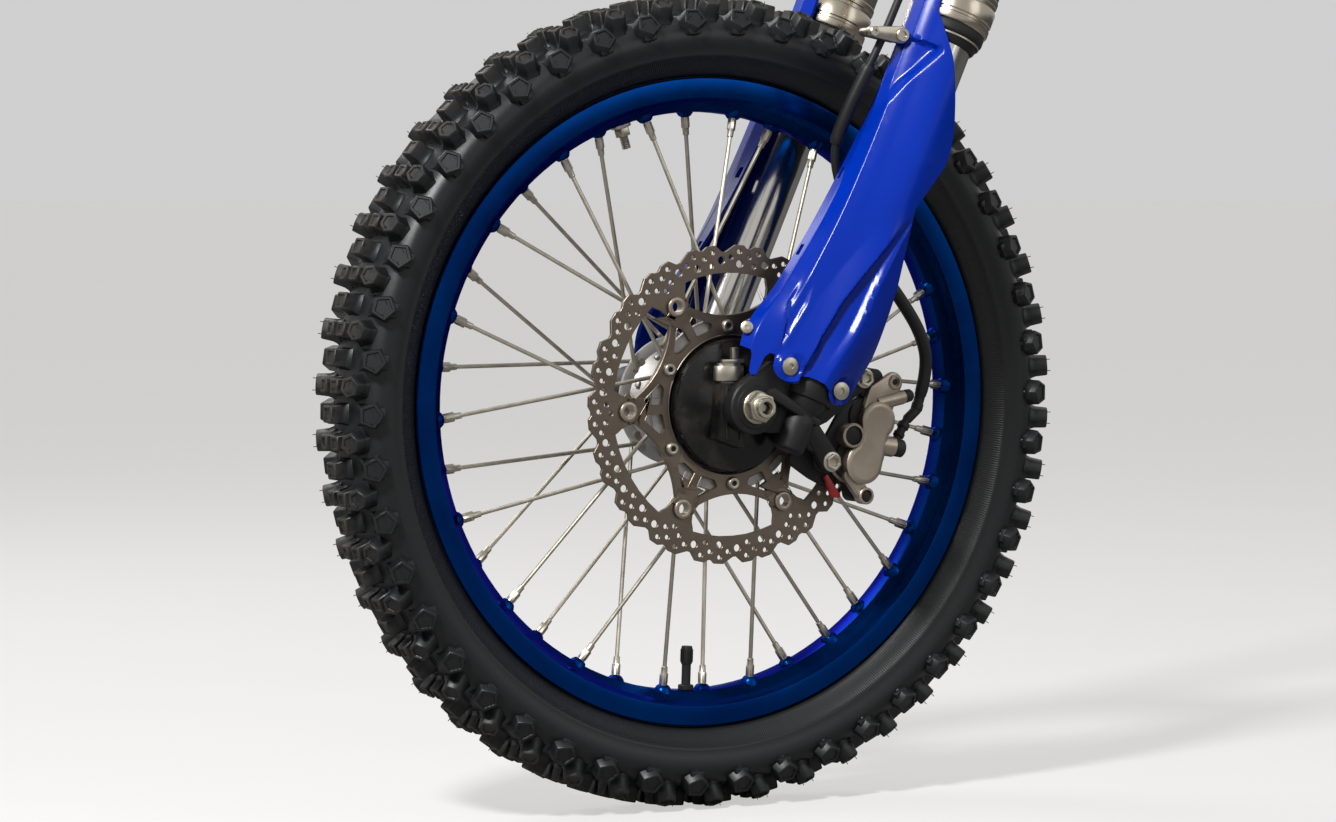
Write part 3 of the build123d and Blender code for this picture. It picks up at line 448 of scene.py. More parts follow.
def hullPlate(circles, height, bevel, count=28):  # plate round a row of circles, base at z=0
    bm = bmesh.new()
    for x, y, radius in circles:
        for z in (0, height):
            bmesh.ops.create_circle(bm, segments=count, radius=radius, matrix=at(x, y, z))
    inside = bmesh.ops.convex_hull(bm, input=bm.verts)["geom_interior"]
    bmesh.ops.delete(bm, geom=only(BMVert, inside), context="VERTS")
    bmesh.ops.delete(bm, geom=[e for e in bm.edges if not e.link_faces], context="EDGES")
    bmesh.ops.dissolve_limit(bm, angle_limit=0.01, verts=bm.verts, edges=bm.edges)
    return softEdges(bm, bevel, 2, 45)


def cutPlate(loops, height, edge):  # plate with holes: its outline first, then each hole
    bm = bmesh.new()
    edges = []
    height, edge = height * mm, edge * mm  # the fill is made in metres
    for loop in loops:
        verts = [bm.verts.new((x * mm, y * mm, edge)) for x, y in loop]
        edges += [bm.edges.new(pair) for pair in zip(verts, verts[1:] + verts[:1])]
    bmesh.ops.triangle_fill(bm, use_beauty=True, use_dissolve=False, edges=edges)
    low = bm.faces[:]
    high = only(BMFace, bmesh.ops.extrude_face_region(bm, geom=low, use_keep_orig=True)["geom"])
    bmesh.ops.translate(bm, verts=list({v for f in high for v in f.verts}), vec=(0, 0, height - 2 * edge))
    bmesh.ops.recalc_face_normals(bm, faces=bm.faces)
    for side in (low, high):
        bmesh.ops.inset_region(
            bm, faces=side, thickness=edge, depth=edge, use_boundary=True, use_even_offset=True
        )
    bm.transform(Matrix.Scale(1 / mm, 4))
    return bm


def put(bm, part, *places):  # adds a copy of a part at each place, and lets the part go
    for place in places or (Matrix(),):
        copy = part.copy()
        copy.transform(place)
        mesh = bpy.data.meshes.new("part")
        copy.to_mesh(mesh)
        bm.from_mesh(mesh)
        bpy.data.meshes.remove(mesh)
        copy.free()
    part.free()


def finished(name, bm, body, slot, *nodes, place=None, paint=None, sharp=35):
    bm.transform((place or bodyPlaces[body]) @ Matrix.Scale(mm, 4))
    mesh = bpy.data.meshes.new(name)
    bm.to_mesh(mesh)
    bm.free()
    piece = linked(name, mesh)
    mesh.materials.append(paint or slotPaints[slot])
    mesh.shade_smooth()
    mesh.set_sharp_from_angle(angle=math.radians(sharp))
    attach(piece, body)
    if nodes:
        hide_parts(*nodes)
    return piece


def outcome(piece):  # the mesh that a curve or a piece's modifiers give
    return bpy.data.meshes.new_from_object(piece.evaluated_get(bpy.context.evaluated_depsgraph_get()))


hose = {
    "radius": 3.6,
    "length": 0.882,  # metres
    "steps": 12,  # points of the spline in each of its spans
    # from the caliper to the upper clamp
    "route": [
        (163, -80, 79), (160, -80.5, 104), (142, -80, 128), (112, -76, 148), (80, -72, 165),
        (49, -70, 185), (20, -72, 208), (-4, -74, 237), (-11, -86.5, 274), (-12, -95, 311),
        (-11, -98.5, 347), (-10, -98, 390), (-7, -96, 448), (-8, -92, 520), (-5, -87, 592), (-6, -83, 655),
        (-5, -80, 707), (-6, -75, 765), (4, -68, 822), (22, -60, 872),
    ],
    "sleeves": [(0, 60, 5.6), (84, 108, 6.0), (180, 204, 4.6)],  # first and last point, and radius
    "sides": 16,
    "lip": 0.85,  # share of the radius at a sleeve's ends
}


def hoseSpline(name, radius):
    curve = bpy.data.curves.new(name, "CURVE")
    curve.dimensions = "3D"
    curve.resolution_u = hose["steps"]
    curve.bevel_depth = radius * mm
    curve.bevel_resolution = 6
    curve.use_fill_caps = True
    line = curve.splines.new("NURBS")
    line.points.add(len(hose["route"]) - 1)
    for point, place in zip(line.points, hose["route"]):
        point.co = (*(forkPlace @ (Vector(place) * mm)), 1.0)
    line.order_u = 3
    line.use_endpoint_u = True
    return linked(name, curve)


def splinePoints():  # points on the hose's middle line
    bare = hoseSpline("hoseMiddle", 0.0)
    mesh = outcome(bare)
    points = [v.co / mm for v in mesh.vertices]
    curve = bare.data
    bpy.data.objects.remove(bare)
    bpy.data.curves.remove(curve)
    bpy.data.meshes.remove(mesh)
    return points


def sleeveTube(points, radius):
    bm = bmesh.new()
    last = len(points) - 1
    rings = []
    for i, point in enumerate(points):
        along = points[min(i + 1, last)] - points[max(i - 1, 0)]
        atEnd = i in (0, last)
        made = bmesh.ops.create_circle(
            bm,
            cap_ends=atEnd,
            segments=hose["sides"],
            radius=radius * (hose["lip"] if atEnd else 1.0),
            matrix=frameFrom(point, along, Vector((0, 1, 0))),
        )
        rings.append({e for v in made["verts"] for e in v.link_edges})
    for one, other in zip(rings, rings[1:]):
        bmesh.ops.bridge_loops(bm, edges=[*one, *other])
    bmesh.ops.recalc_face_normals(bm, faces=bm.faces)
    return bm


def makeHose():
    line = hoseSpline("brakeHose", hose["radius"])
    line.data.materials.append(hoseRubber)
    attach(line, "fork")
    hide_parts("brake_hose")
    points = splinePoints()
    for number, (first, last, radius) in enumerate(hose["sleeves"]):
        tube = sleeveTube(points[first : last + 1], radius)
        name = f"hoseSleeve{number}"
        finished(name, tube, "fork", "black_rubber", place=Matrix(), paint=hoseRubber)


makeHose()
print("hose is made")


tyre = {
    "pitches": 46,
    "firstPitch": 0.3,  # degrees
    "steps": 184,
    # radius and half width, from the bead to the crown, then back inside
    "section": [
        (270, 19), (281.2, 20.5), (282.2, 23.2), (285, 26.2), (291, 30.5), (297.5, 34.7), (298.5, 36.1),
        (300.5, 36.7), (301.8, 36.6), (306, 38.5), (313, 39.8), (319, 39.5), (324, 37.2), (329, 32),
        (333, 25), (335.5, 16), (336.5, 8), (336.8, 0),
    ],
    "inside": [(327, 0), (320, 24), (290, 24), (270, 12)],
    # place in the pitch, y and radius of the top, outward tilt, length, width, depth, sides, turn
    "knobs": [
        (0, 0, 351.3, 0, 14.5, 16, 17, 4, 45), (0.5, 10, 350.8, -4, 12.5, 12.5, 17, 4, 45),
        (0.5, 31.8, 346.8, -30, 17, 16.5, 18, 6, 12), (0, 44, 331.8, -60, 19.2, 18.4, 18, 5, 20),
    ],
    "flare": [(0.5, 0), (0.535, -0.6), (0.6, -0.8), (0.74, -1)],  # share of the width and the depth
    "spread": {4: math.sqrt(2), 5: 1.2, 6: 1.12},  # makes up for the corners
    "edge": (0.9, 1, 40),  # a knob's bevel: width, segments, and the angle that is bevelled
    "rim": (2.0, 0.7, -1.2),  # worn edge round a knob's top: its width, its slope and the dip inside
    "hair": (0.3, 0.4, 3.6),  # share of the length, radius and height of the moulding hairs
    # place in the pitch, y, radius and tilt of the middle, size, bevel
    "tie": (0.5, 0.0, 336.0, 0, (9.0, 12.0, 16.0), 0.8, 1),  # between the centre pair
    "buttress": (0.0, 38.0, 323.0, -80, (13.0, 13.0, 10.0), 2.0, 2),  # below a shoulder knob
}


def knobBlock(length, width, depth, sides, turn):
    bm = lathe([(0, 0)] + [(x, z * depth) for x, z in tyre["flare"]] + [(0, -depth)], sides)
    wider = tyre["spread"][sides]
    bm.transform(Matrix.Diagonal((length * wider, width * wider, 1, 1)) @ turned(turn, "Z"))
    softEdges(bm, *tyre["edge"])
    bm.normal_update()
    edge, slope, dip = tyre["rim"]
    top = [f for f in bm.faces if f.normal.z > 0.99 and f.calc_center_median().z > -0.2]
    bmesh.ops.inset_region(bm, faces=top, thickness=edge, depth=0.0)
    bmesh.ops.inset_region(bm, faces=top, thickness=slope, depth=dip)
    share, radius, height = tyre["hair"]
    if sides > 4:
        for x in (share, -share):
            put(bm, prism(3, radius, height, 0), at(x * length, 0, -radius))
    return bm


def makeTyre():
    half = tyre["section"]
    hollow = [(r, -y) for r, y in reversed(tyre["inside"])] + tyre["inside"][1:]
    bm = lathe(half + [(r, -y) for r, y in reversed(half[:-1])] + hollow, tyre["steps"])
    pitch = 360.0 / tyre["pitches"]

    def spots(phase, y, radius, tilt):
        turns = [90 - tyre["firstPitch"] - pitch * (i + phase) for i in range(tyre["pitches"])]
        return [turned(turn, "Y") @ at(0, y, radius) @ turned(tilt, "X") for turn in turns]

    tread = bmesh.new()
    for phase, y, radius, tilt, length, width, depth, sides, turn in tyre["knobs"]:
        for side in ((1, -1) if y else (1,)):
            block = knobBlock(length, width, depth, sides, side * turn)
            put(tread, block, *spots(phase, side * y, radius, side * tilt))
    for side, row in ((1, tyre["tie"]), (1, tyre["buttress"]), (-1, tyre["buttress"])):
        phase, y, radius, tilt, size, bevel, segments = row
        put(tread, brick(size, bevel, segments), *spots(phase, side * y, radius, side * tilt))
    bm.transform(alongAxle)
    put(bm, tread)
    finished("tyreAndKnobs", bm, "wheel", "tyre", "tyre", sharp=40)


rimShape = {
    "steps": 144,
    # radius and half width, from the bed to the flange and down its inner side
    "section": [
        (251, 0), (251, 8), (251.6, 10.5), (258, 16.5), (260, 19), (262.2, 24.2), (263.2, 25.2),
        (265, 25.5), (277.5, 25.5), (279.5, 25.2), (280.5, 24), (280.5, 22.6), (279.7, 21.4), (278, 21),
        (264, 21), (262.5, 13), (255, 9), (255, 0),
    ],
    "boss": [(0, 3.6), (4.2, 3.4), (5.6, 2.4), (7, 0.4), (8.5, -3)],
}

spokeShape = {
    "count": 36,
    "radius": 1.8,
    "sides": 10,
    "bend": 3.2,
    "head": [(3.0, 1.0), (1.6, 1.7), (0.8, 1.0)],  # steps past the bend, and how much wider
    "hubCircle": 50.0,
    "lead": 35.5,  # degrees between a spoke's two ends
    "first": 2.0,
    "flanges": {-1: -43.0, 1: 33.5},
    "offset": {1: 5.5, -1: 3.4},  # outboard and inboard of a flange's middle
    "rimCircle": 250.5,
    "rimPlane": -2.0,
    "rimOffset": 4.0,
    "seated": 2.0,  # how far a spoke runs into its nipple
    "nipple": [(0, 0), (2.3, 0), (2.7, 0.4), (2.9, 6.0), (3.4, 7.0), (3.4, 20.0), (0, 20.0)],
    "square": (4.5, 9.5, 0.7, 6.5),  # the nipple's square: radius, height, bevel, start
    # place in a step of four, side, direction of lacing, outboard or inboard
    "pattern": [(0, -1, 1, 1), (1, 1, -1, 1), (2, -1, -1, -1), (3, 1, 1, -1)],
}


def spokeLines():  # (side, start at the hub, end at the rim, direction of its bent tail)
    shape = spokeShape
    lines = []
    for group in range(shape["count"] // 4):
        for place, side, lead, outboard in shape["pattern"]:
            rimAngle = shape["first"] + 360.0 / shape["count"] * (4 * group + place)
            x, z = polar(shape["hubCircle"], rimAngle + lead * shape["lead"])
            start = Vector((x, shape["flanges"][side] + side * outboard * shape["offset"][outboard], z))
            x, z = polar(shape["rimCircle"], rimAngle)
            end = Vector((x, shape["rimPlane"] + side * shape["rimOffset"], z))
            lines.append((side, start, end, Vector((0, -side * outboard, 0))))
    return lines


def grow(bm, edges):  # extrudes a loop of edges and gives the new loop
    before = {v for e in edges for v in e.verts}
    geometry = bmesh.ops.extrude_edge_only(bm, edges=edges)["geom"]
    verts = [v for v in only(BMVert, geometry) if v not in before]
    return verts, [e for e in only(BMEdge, geometry) if not before.intersection(e.verts)]


def bentSpoke(length, bendAngle):
    radius, bend = spokeShape["radius"], spokeShape["bend"]
    bm = bmesh.new()
    bmesh.ops.create_circle(bm, segments=spokeShape["sides"], radius=radius, matrix=at(0, 0, length))
    verts, edges = grow(bm, bm.edges[:])
    bmesh.ops.translate(bm, verts=verts, vec=(0, 0, bend - length))
    elbow = bmesh.ops.spin(
        bm, geom=verts + edges, cent=(bend, 0, bend), axis=(0, -1, 0), angle=bendAngle, steps=6
    )["geom_last"]
    edges = only(BMEdge, elbow)
    away = Vector((math.sin(bendAngle), 0, -math.cos(bendAngle)))
    for step, wider in spokeShape["head"]:
        verts, edges = grow(bm, edges)
        bmesh.ops.translate(bm, verts=verts, vec=away * step)
        middle = sum((v.co for v in verts), Vector()) / len(verts)
        bmesh.ops.scale(bm, vec=(wider, wider, wider), verts=verts, space=Matrix.Translation(-middle))
    bmesh.ops.holes_fill(bm, edges=bm.edges, sides=0)
    bmesh.ops.recalc_face_normals(bm, faces=bm.faces)
    return bm


def makeSpokes():
    left, right, nipples, bosses = (bmesh.new() for _ in range(4))
    size, seated = spokeShape["nipple"][-1][1], spokeShape["seated"]
    radius, height, bevel, base = spokeShape["square"]
    for side, start, end, tail in spokeLines():
        along = end - start
        angle = math.acos(-along.normalized().dot(tail))
        place = frameFrom(start, along, tail)
        put(left if side < 0 else right, bentSpoke(along.length - size + seated, angle), place)
        seat = frameFrom(end - along.normalized() * size, along, tail)
        put(nipples, lathe(spokeShape["nipple"], 12), seat)
        put(nipples, prism(4, radius, height, bevel), seat @ at(0, 0, base))
        put(bosses, lathe(rimShape["boss"], 20), frameFrom(end, -along, tail))
    finished("spokesLeft", left, "wheel", "zinc_steel", "spokes_left")
    finished("spokesRight", right, "wheel", "zinc_steel", "spokes_right")
    finished("spokeNipples", nipples, "wheel", "zinc_steel", "spoke_nipples")
    half = rimShape["section"]
    bm = lathe([(r, -y) for r, y in reversed(half)] + half[1:-1], rimShape["steps"])
    bm.transform(alongAxle)
    put(bm, bosses)
    finished("wheelRim", bm, "wheel", "rim_blue", "rim", sharp=30)


fittings = {
    "bed": 250.8,
    "valve": 268.0,  # degrees
    "valveParts": {
        "nut": [(0, 0), (6.8, 0), (6.8, 3.5), (6.0, 4.2), (0, 4.2)],
        "stem": [(0, 0), (4.0, 0), (4.0, 24.0), (0, 24.0)],
        "cap": [(0, 22.0), (4.6, 22.0), (5.0, 23.5), (5.0, 36.0), (4.4, 37.8), (0, 38.0)],
    },
    "grips": (16, (0.9, 0.8, 11.0), 5.1, 29.5),  # count, size, distance out and up
    "lock": 107.0,  # degrees
    "washer": [(0, 0), (9.0, 0), (9.0, 2.2), (8.6, 2.8), (0, 2.8)],
    "nut": (7.2, 7.5, 0.6, 2.8),  # radius, height, bevel, start
    "thread": (4.0, 0.5, 0.8, 28),  # radius, depth, half pitch, turns
}


def rimStud(degrees):  # z points to the hub from the rim's bed
    x, z = polar(fittings["bed"], degrees)
    return frameFrom(Vector((x, 0, z)), Vector((-x, 0, -z)), Vector((0, 1, 0)))


def makeRimFittings():
    bm = bmesh.new()
    place = rimStud(fittings["valve"])
    for outline in fittings["valveParts"].values():
        put(bm, lathe(outline, 24), place)
    count, size, out, up = fittings["grips"]
    for i in range(count):
        put(bm, brick(size, 0), place @ turned(360 * i / count, "Z") @ at(out, 0, up))
    finished("valveStem", bm, "wheel", "black_rubber", "valve_stem")
    bm = bmesh.new()
    place = rimStud(fittings["lock"])
    put(bm, lathe(fittings["washer"], 32), place)
    radius, height, bevel, base = fittings["nut"]
    put(bm, prism(6, radius, height, bevel), place @ at(0, 0, base))
    radius, depth, step, count = fittings["thread"]
    thread = [(radius - depth * (i % 2), step * i) for i in range(1, count)]
    put(bm, lathe([(0, 0), *thread, (0, 22.0)], 20), place)
    finished("rimLock", bm, "wheel", "zinc_steel", "rim_lock")


hub = {
    # radius, and distance to the left of the wheel's middle plane
    "outline": [
        (10.5, 52), (24, 52), (27, 49), (42, 49), (58, 54), (60, 57), (74.5, 57), (75, 56.5), (75, 52.5),
        (74.5, 52), (60, 51.2), (46, 51), (44, 47.5), (46.5, 44.7), (56, 44.5), (57, 43.5), (57, 42.5),
        (56, 41.5), (44, 41.2), (36, 34), (29, 16), (27, 4), (29, -6), (37, -20), (44, -28.5), (47, -31.5),
        (55.5, -32), (57, -33), (57, -34.2), (55.5, -35.2), (46, -36), (38, -39), (30, -47), (24.5, -54),
        (24, -55), (10.5, -55),
    ],
    # ribs inside the right flange: how many, size, place outwards and across, lean
    "ribs": (9, (16.0, 4.0, 6.0), 40.0, 30.0, -40),
}


def makeHub():
    bm = lathe(hub["outline"], 96)
    bm.transform(onSide(0))
    count, size, out, across, lean = hub["ribs"]
    for i in range(count):
        put(bm, brick(size), turned(360 * i / count, "Y") @ at(out, across) @ turned(lean, "Z"))
    finished("hubCasting", bm, "wheel", "hub_cast", "hub")


disc = {
    "outerFace": -58.0,  # the ring's inner plane; it grows to the left
    "thickness": 3.0,
    "edge": 0.35,
    "inner": 113.0,
    "waves": 18,
    "first": 2.0,  # degrees; the shallow notches, with the deep ones half a wave on
    "deep": [(-4.6, 137), (-0.4, 131), (1.2, 131), (3.8, 137)],
    "shallow": [(-2.7, 137), (-0.8, 134.3), (0.6, 134.4), (1.9, 137)],
    # degrees from the shallow notch, radius, radius of the hole
    "holes": [
        (7.4, 126.3, 2.2), (3.8, 131.3, 2.2), (3.3, 120.8, 3.3), (-0.7, 127.2, 2.2), (-4.5, 131.3, 2.2),
        (-3.4, 120, 2.2), (-8.3, 123.8, 3.3),
    ],
    "tabHoles": [(3.8, 121.3, 2.2), (0.3, 115.7, 2.2)],
    "tabs": 6,
    "bay": (0.4, 6.8),  # between two tabs: how much the inner edge opens, and degrees of a step
    "neck": [(110.5, 9.0), (106.0, 7.6), (100.0, 6.8)],  # radius, degrees beside a tab's middle
    "bobbins": 122.0,  # degrees of the first one
    "bobbinCircle": 99.5,
    "bobbinRadius": 6.7,
    "bobbin": [
        (4.7, 7.2), (5.2, 7.6), (6.6, 7.7), (7.8, 7.4), (8.4, 6.8), (8.6, 5.2), (6.4, 5), (6.4, 0),
        (8.4, -0.2), (8.4, -1.5), (4.7, -1.8),
    ],
}


def makeDisc():
    pitch = 360.0 / disc["waves"]
    outer, holes = [], []
    for i in range(disc["waves"]):
        middle = disc["first"] + pitch * i
        outer += [polar(radius, middle + angle) for angle, radius in disc["shallow"]]
        outer += [polar(radius, middle + pitch / 2 + angle) for angle, radius in disc["deep"]]
        here = disc["holes"]
        if i % 3 == 0:
            here = here[:2] + here[3:] + disc["tabHoles"]
        holes += [(*polar(radius, middle + angle), hole) for angle, radius, hole in here]
    inner = []
    step = 360.0 / disc["tabs"]
    rise, stride = disc["bay"]
    for i in range(disc["tabs"]):
        tab = disc["bobbins"] + step * i
        inner += [polar(disc["inner"] + rise * abs(k) / 3, tab - step / 2 + stride * k) for k in range(-3, 4)]
        inner += [polar(radius, tab - angle) for radius, angle in disc["neck"]]
        inner += ringPoints(*polar(disc["bobbinCircle"], tab), disc["bobbinRadius"], 10, tab - 88, 176)
        inner += [polar(radius, tab + angle) for radius, angle in reversed(disc["neck"])]
    loops = [outer, inner] + [ringPoints(x, y, radius, 14) for x, y, radius in holes]
    bm = cutPlate(loops, disc["thickness"], disc["edge"])
    bm.transform(onSide(disc["outerFace"]))
    finished("discRing", bm, "wheel", "disc_steel", "disc_ring", sharp=25)


carrier = {
    "plane": -57.0,
    "thickness": 5.0,
    "edge": 0.4,
    "opening": 60.0,
    "arm": 11.5,  # radius round a bobbin
    "lip": (99.0, 6.6),  # where the bobbin's seat opens: radius and degrees
    "valley": (159.5, 82.5),  # centre's distance and radius of the round valley between arms
    # one window of an arm's pair: along the arm and beside it
    "window": [
        (66.4, 4.5), (67.2, 3.9), (80.5, 4.4), (81.8, 5.2), (83.2, 8.5), (82.6, 9.8), (69, 21.2),
        (67.3, 21.5), (66.2, 20.6), (64, 17.2), (64, 15.8),
    ],
    "boltCircle": 67.6,
    "boltLead": 30.3,  # degrees past an arm
    "boltHead": [(2.4, 0.8), (2.4, 3), (3.4, 3.4), (4.6, 3.2), (5.5, 2.2), (5.8, 0)],
    # black hex at the foot of each bolt head's socket, painted shade of the recess: radius and height
    "boltSocketShade": (2.5, 1.0),
}


def makeCarrier():
    outer, windows, bolts = [], [], []
    distance, radius = carrier["valley"]
    lip, opens = carrier["lip"]
    arm = ringPoints(disc["bobbinCircle"], 0, carrier["arm"], 7, -150, 62) + [polar(lip, -opens)]
    arm += ringPoints(disc["bobbinCircle"], 0, disc["bobbinRadius"], 10, 272, -184)
    arm += [polar(lip, opens)] + ringPoints(disc["bobbinCircle"], 0, carrier["arm"], 7, 88, 62)
    angles = [disc["bobbins"] + 360.0 / disc["tabs"] * i for i in range(disc["tabs"])]
    for angle in angles:
        outer += turnedPoints(arm, angle)
        outer += turnedPoints(ringPoints(distance, 0, radius, 15, 207, -54), angle + 30.0)
        for side in (1, -1):
            windows.append(turnedPoints([(x, side * y) for x, y in carrier["window"]], angle))
        bolts.append(polar(carrier["boltCircle"], angle + carrier["boltLead"]))
    opening = ringPoints(0, 0, carrier["opening"], 72)
    bm = cutPlate([outer, opening] + windows, carrier["thickness"], carrier["edge"])
    bm.transform(onSide(carrier["plane"]))
    finished("discCarrier", bm, "wheel", "disc_steel", "disc_carrier", sharp=25)
    heads, socketShades, bobbins = (bmesh.new() for _ in range(3))
    face = carrier["plane"] - carrier["thickness"]
    for x, z in bolts:
        put(heads, lathe(carrier["boltHead"], 28), onSide(face, x, z))
        # black hexes in the bolt heads' sockets are painted shade of the recesses
        put(socketShades, prism(6, *carrier["boltSocketShade"], 0), onSide(face, x, z))
    for angle in angles:
        x, z = polar(disc["bobbinCircle"], angle)
        put(bobbins, lathe(disc["bobbin"], 40), onSide(carrier["plane"], x, z))
    finished("discBolts", heads, "wheel", "zinc_steel", "disc_bolts")
    finished("discBoltSocketShade", socketShades, "wheel", "black_plastic")
    finished("discBobbins", bobbins, "wheel", "bobbin_alloy", "disc_bobbins")


def curveAt(points, place):  # smooth value through rows of (place, value, ...), as a list of values
    last = len(points) - 1
    i = 0
    while i < last - 1 and points[i + 1][0] < place:
        i += 1
    first, second = points[i], points[i + 1]
    before, after = points[max(i - 1, 0)], points[min(i + 2, last)]
    span = second[0] - first[0]
    f = min(max((place - first[0]) / span, 0.0), 1.0)
    values = []
    for k in range(1, len(first)):
        slope = (second[k] - before[k]) / (second[0] - before[0]) * span
        nextSlope = (after[k] - first[k]) / (after[0] - first[0]) * span
        values.append(
            (1 + 2 * f) * (1 - f) ** 2 * first[k]
            + f * (1 - f) ** 2 * slope
            + f * f * (3 - 2 * f) * second[k]
            + f * f * (f - 1) * nextSlope
        )
    return values


def lineAt(points, place):  # straight runs between (place, value) points
    if place <= points[0][0]:
        return points[0][1]
    for (a, u), (b, v) in zip(points, points[1:]):
        if place <= b:
            return u + (v - u) * (place - a) / (b - a)
    return points[-1][1]


def smoothStep(value, low, high):
    f = min(max((value - low) / (high - low), 0.0), 1.0)
    return f * f * (3 - 2 * f)


guard = {
    "wall": 3.0,
    "top": 396.0,
    "rows": 165,
    "step": 1.25,  # width of a column at the lower edge
    # height, then x and y of seven points from the inner front edge round to the rear
    "sections": [
        (20, -24, -88, -18, -102, -4, -112, 10, -117, 42, -126, 62, -123, 82, -113),
        (60, -32, -88, -24, -102, -6, -113, 12, -120, 42, -132.5, 64, -128, 86, -116),
        (110, -14, -80, -12, -98, -2, -113, 14, -121, 42, -134, 68, -132, 90, -123),
        (190, 2, -76, 1, -97, 6, -113, 19, -121, 45, -134, 69, -131, 94, -124),
        (300, 14, -76, 7, -96, 9, -112, 20, -121, 43, -136, 68, -133, 94, -126),
        (400, 12, -76, 6, -95, 7, -111, 18, -121, 42, -136, 66, -133, 92, -127),
    ],
    "corner": 2.0,  # the section is straight up to this point, and smooth after it
    # height and x of the rear edge, below and above its notch
    "rearLow": [
        (20, 72), (42, 73.5), (60, 76), (79, 78.5), (107, 75.5), (143, 72.5), (187, 65), (211, 60.5),
    ],
    "rearHigh": [
        (211, 60.5), (235, 67.5), (257, 74), (272, 73), (291, 67.5), (307, 59.5), (345, 39.5), (380, 17.5),
        (398, 16),
    ],
    "notch": 211.0,
    # x and height along the lower edge: before the bolts' lobes, between them and after them
    "front": [
        (-28.7, 44.5), (-23, 43.5), (-21, 40), (-17.5, 25.5), (-15, 23.5), (-12, 25), (-11.5, 42),
        (-9, 46.5), (-5, 47),
    ],
    "arch": [(22, 38), (28, 40.5), (34, 40.5), (41, 39), (47, 36)],
    "heel": [(73.5, 42.0)],
    # x, z and face of each bolt's seat, radius of the lobe, and first angle, turn and points of its edge
    "bolts": [(9, 42, -119.5, 13.0, 188, 132, 12), (62, 42, -123.0, 12.0, 195, 130, 10)],
    "seat": (9.0, 13.5),  # radius that is flat, and radius where it ends
    # height and x of three lines down the folded wing, and the rise at each, and at the edge
    "fold": [(45, 19), (76, 22), (110, 27), (135, 34), (160, 42), (203, 57.5), (211, 60)],
    "groove": [(45, 23.5), (76, 26.5), (110, 31.5), (135, 38), (160, 46), (203, 59), (211, 60.3)],
    "rib": [
        (45, 40), (54, 41), (72, 44.5), (90, 48.5), (113, 50.5), (135, 52), (157, 54.5), (180, 58),
        (211, 60.6),
    ],
    "rise": (4.0, -5.0, 2.2, 0.8),
    "fade": 70.0,  # length over which the fold grows, down from the notch
    # a wedge pressed in above the first bolt: its left and right side, depth, width of its walls,
    # and length before it fades
    "wedge": ([(52, -3), (95, -9), (125, -4)], [(52, -2.4), (98, 5), (125, 4)], 2.6, 2.2, 40),
    # the hose's pocket: its top, depth, length of its slope, and height and x of its rear side
    "pocket": (347.0, 8.0, 50, [(262, 2), (309, 16), (350, 33)]),
    # place in the section, and heights of each slot in the front strip
    "slots": [(0.35, 0.75, 214, 226), (0.35, 0.75, 137, 149)],
    "button": [(0, 0), (7.6, 0), (7.9, 0.5), (7.7, 1.2), (7.0, 1.6), (2.7, 1.8), (2.4, 0.5), (0, 0.5)],
    # the small bolt at the front: place, direction and size
    "frontBolt": ((-31.5, 97.0, 60.0), (-0.45, 0.89, 0), 0.68),
}


def guardSection(turn, height):  # x and y at a turn from 0 to 6 along the section
    row = curveAt(guard["sections"], height)
    points = [(k, row[2 * k], row[2 * k + 1]) for k in range(7)]
    if turn <= guard["corner"]:
        return [lineAt([(p[0], p[k]) for p in points[:3]], turn) for k in (1, 2)]
    return curveAt(points[2:], turn)


def turnAt(x, height):  # where the section reaches x
    low, high = 0.0, 6.0
    for _ in range(24):
        middle = (low + high) / 2
        if guardSection(middle, height)[0] < x:
            low = middle
        else:
            high = middle
    return low


def guardRelief(x, height):  # outboard rise of the folded rear wing, less the pressed wedge
    if height >= guard["notch"]:
        return 0.0
    left, right, deep, wall, even = guard["wedge"]
    low, high = left[0][0], left[-1][0]
    inside = min((x - lineAt(left, height)) / wall, (lineAt(right, height) - x) / wall, 1.0)
    if low < height < high and inside > 0:
        return -deep * inside * (1 - smoothStep(height, low + even, high))
    fade = smoothStep(guard["notch"] - height, 0.0, guard["fade"])
    fold, groove, rib = (lineAt(guard[line], height) for line in ("fold", "groove", "rib"))
    edge = lineAt(guard["rearLow"], height)
    crest, low, ribRise, edgeRise = guard["rise"]
    floor = low + 4 - 3 * smoothStep(height, 60, 100)
    line = [(fold - 16, 0.0), (fold, crest), (max(groove, fold + 3), low)]
    line += [(max(rib - 6, groove + 4), floor), (max(rib, groove + 6), ribRise)]
    return fade * lineAt(line + [(max(edge, rib + 2), edgeRise)], x)


def guardPoint(turn, height):
    x, y = guardSection(turn, height)
    y -= guardRelief(x, height)
    top, depth, slope, side = guard["pocket"]
    rear = lineAt(side, height)
    foot = side[0][0]
    hollow = smoothStep(height, foot, foot + slope) * (1 - smoothStep(height, top, top + 3))
    y += depth * hollow * smoothStep(turn, 0.6, 1.4) * (1 - smoothStep(x, rear - 4, rear))
    for boltX, boltZ, face, *_ in guard["bolts"]:
        flat = 1 - smoothStep(math.hypot(x - boltX, height - boltZ), *guard["seat"])
        y += (face - y) * flat
    return x, y


def spread(points, step):  # puts points between others that lie further apart
    line = []
    for (x, z), (u, w) in zip(points, points[1:]):
        count = max(1, round(max(abs(u - x) / step, abs(w - z) / (3 * step))))
        line += [(x + (u - x) * k / count, z + (w - z) * k / count) for k in range(count)]
    return line + [points[-1]]


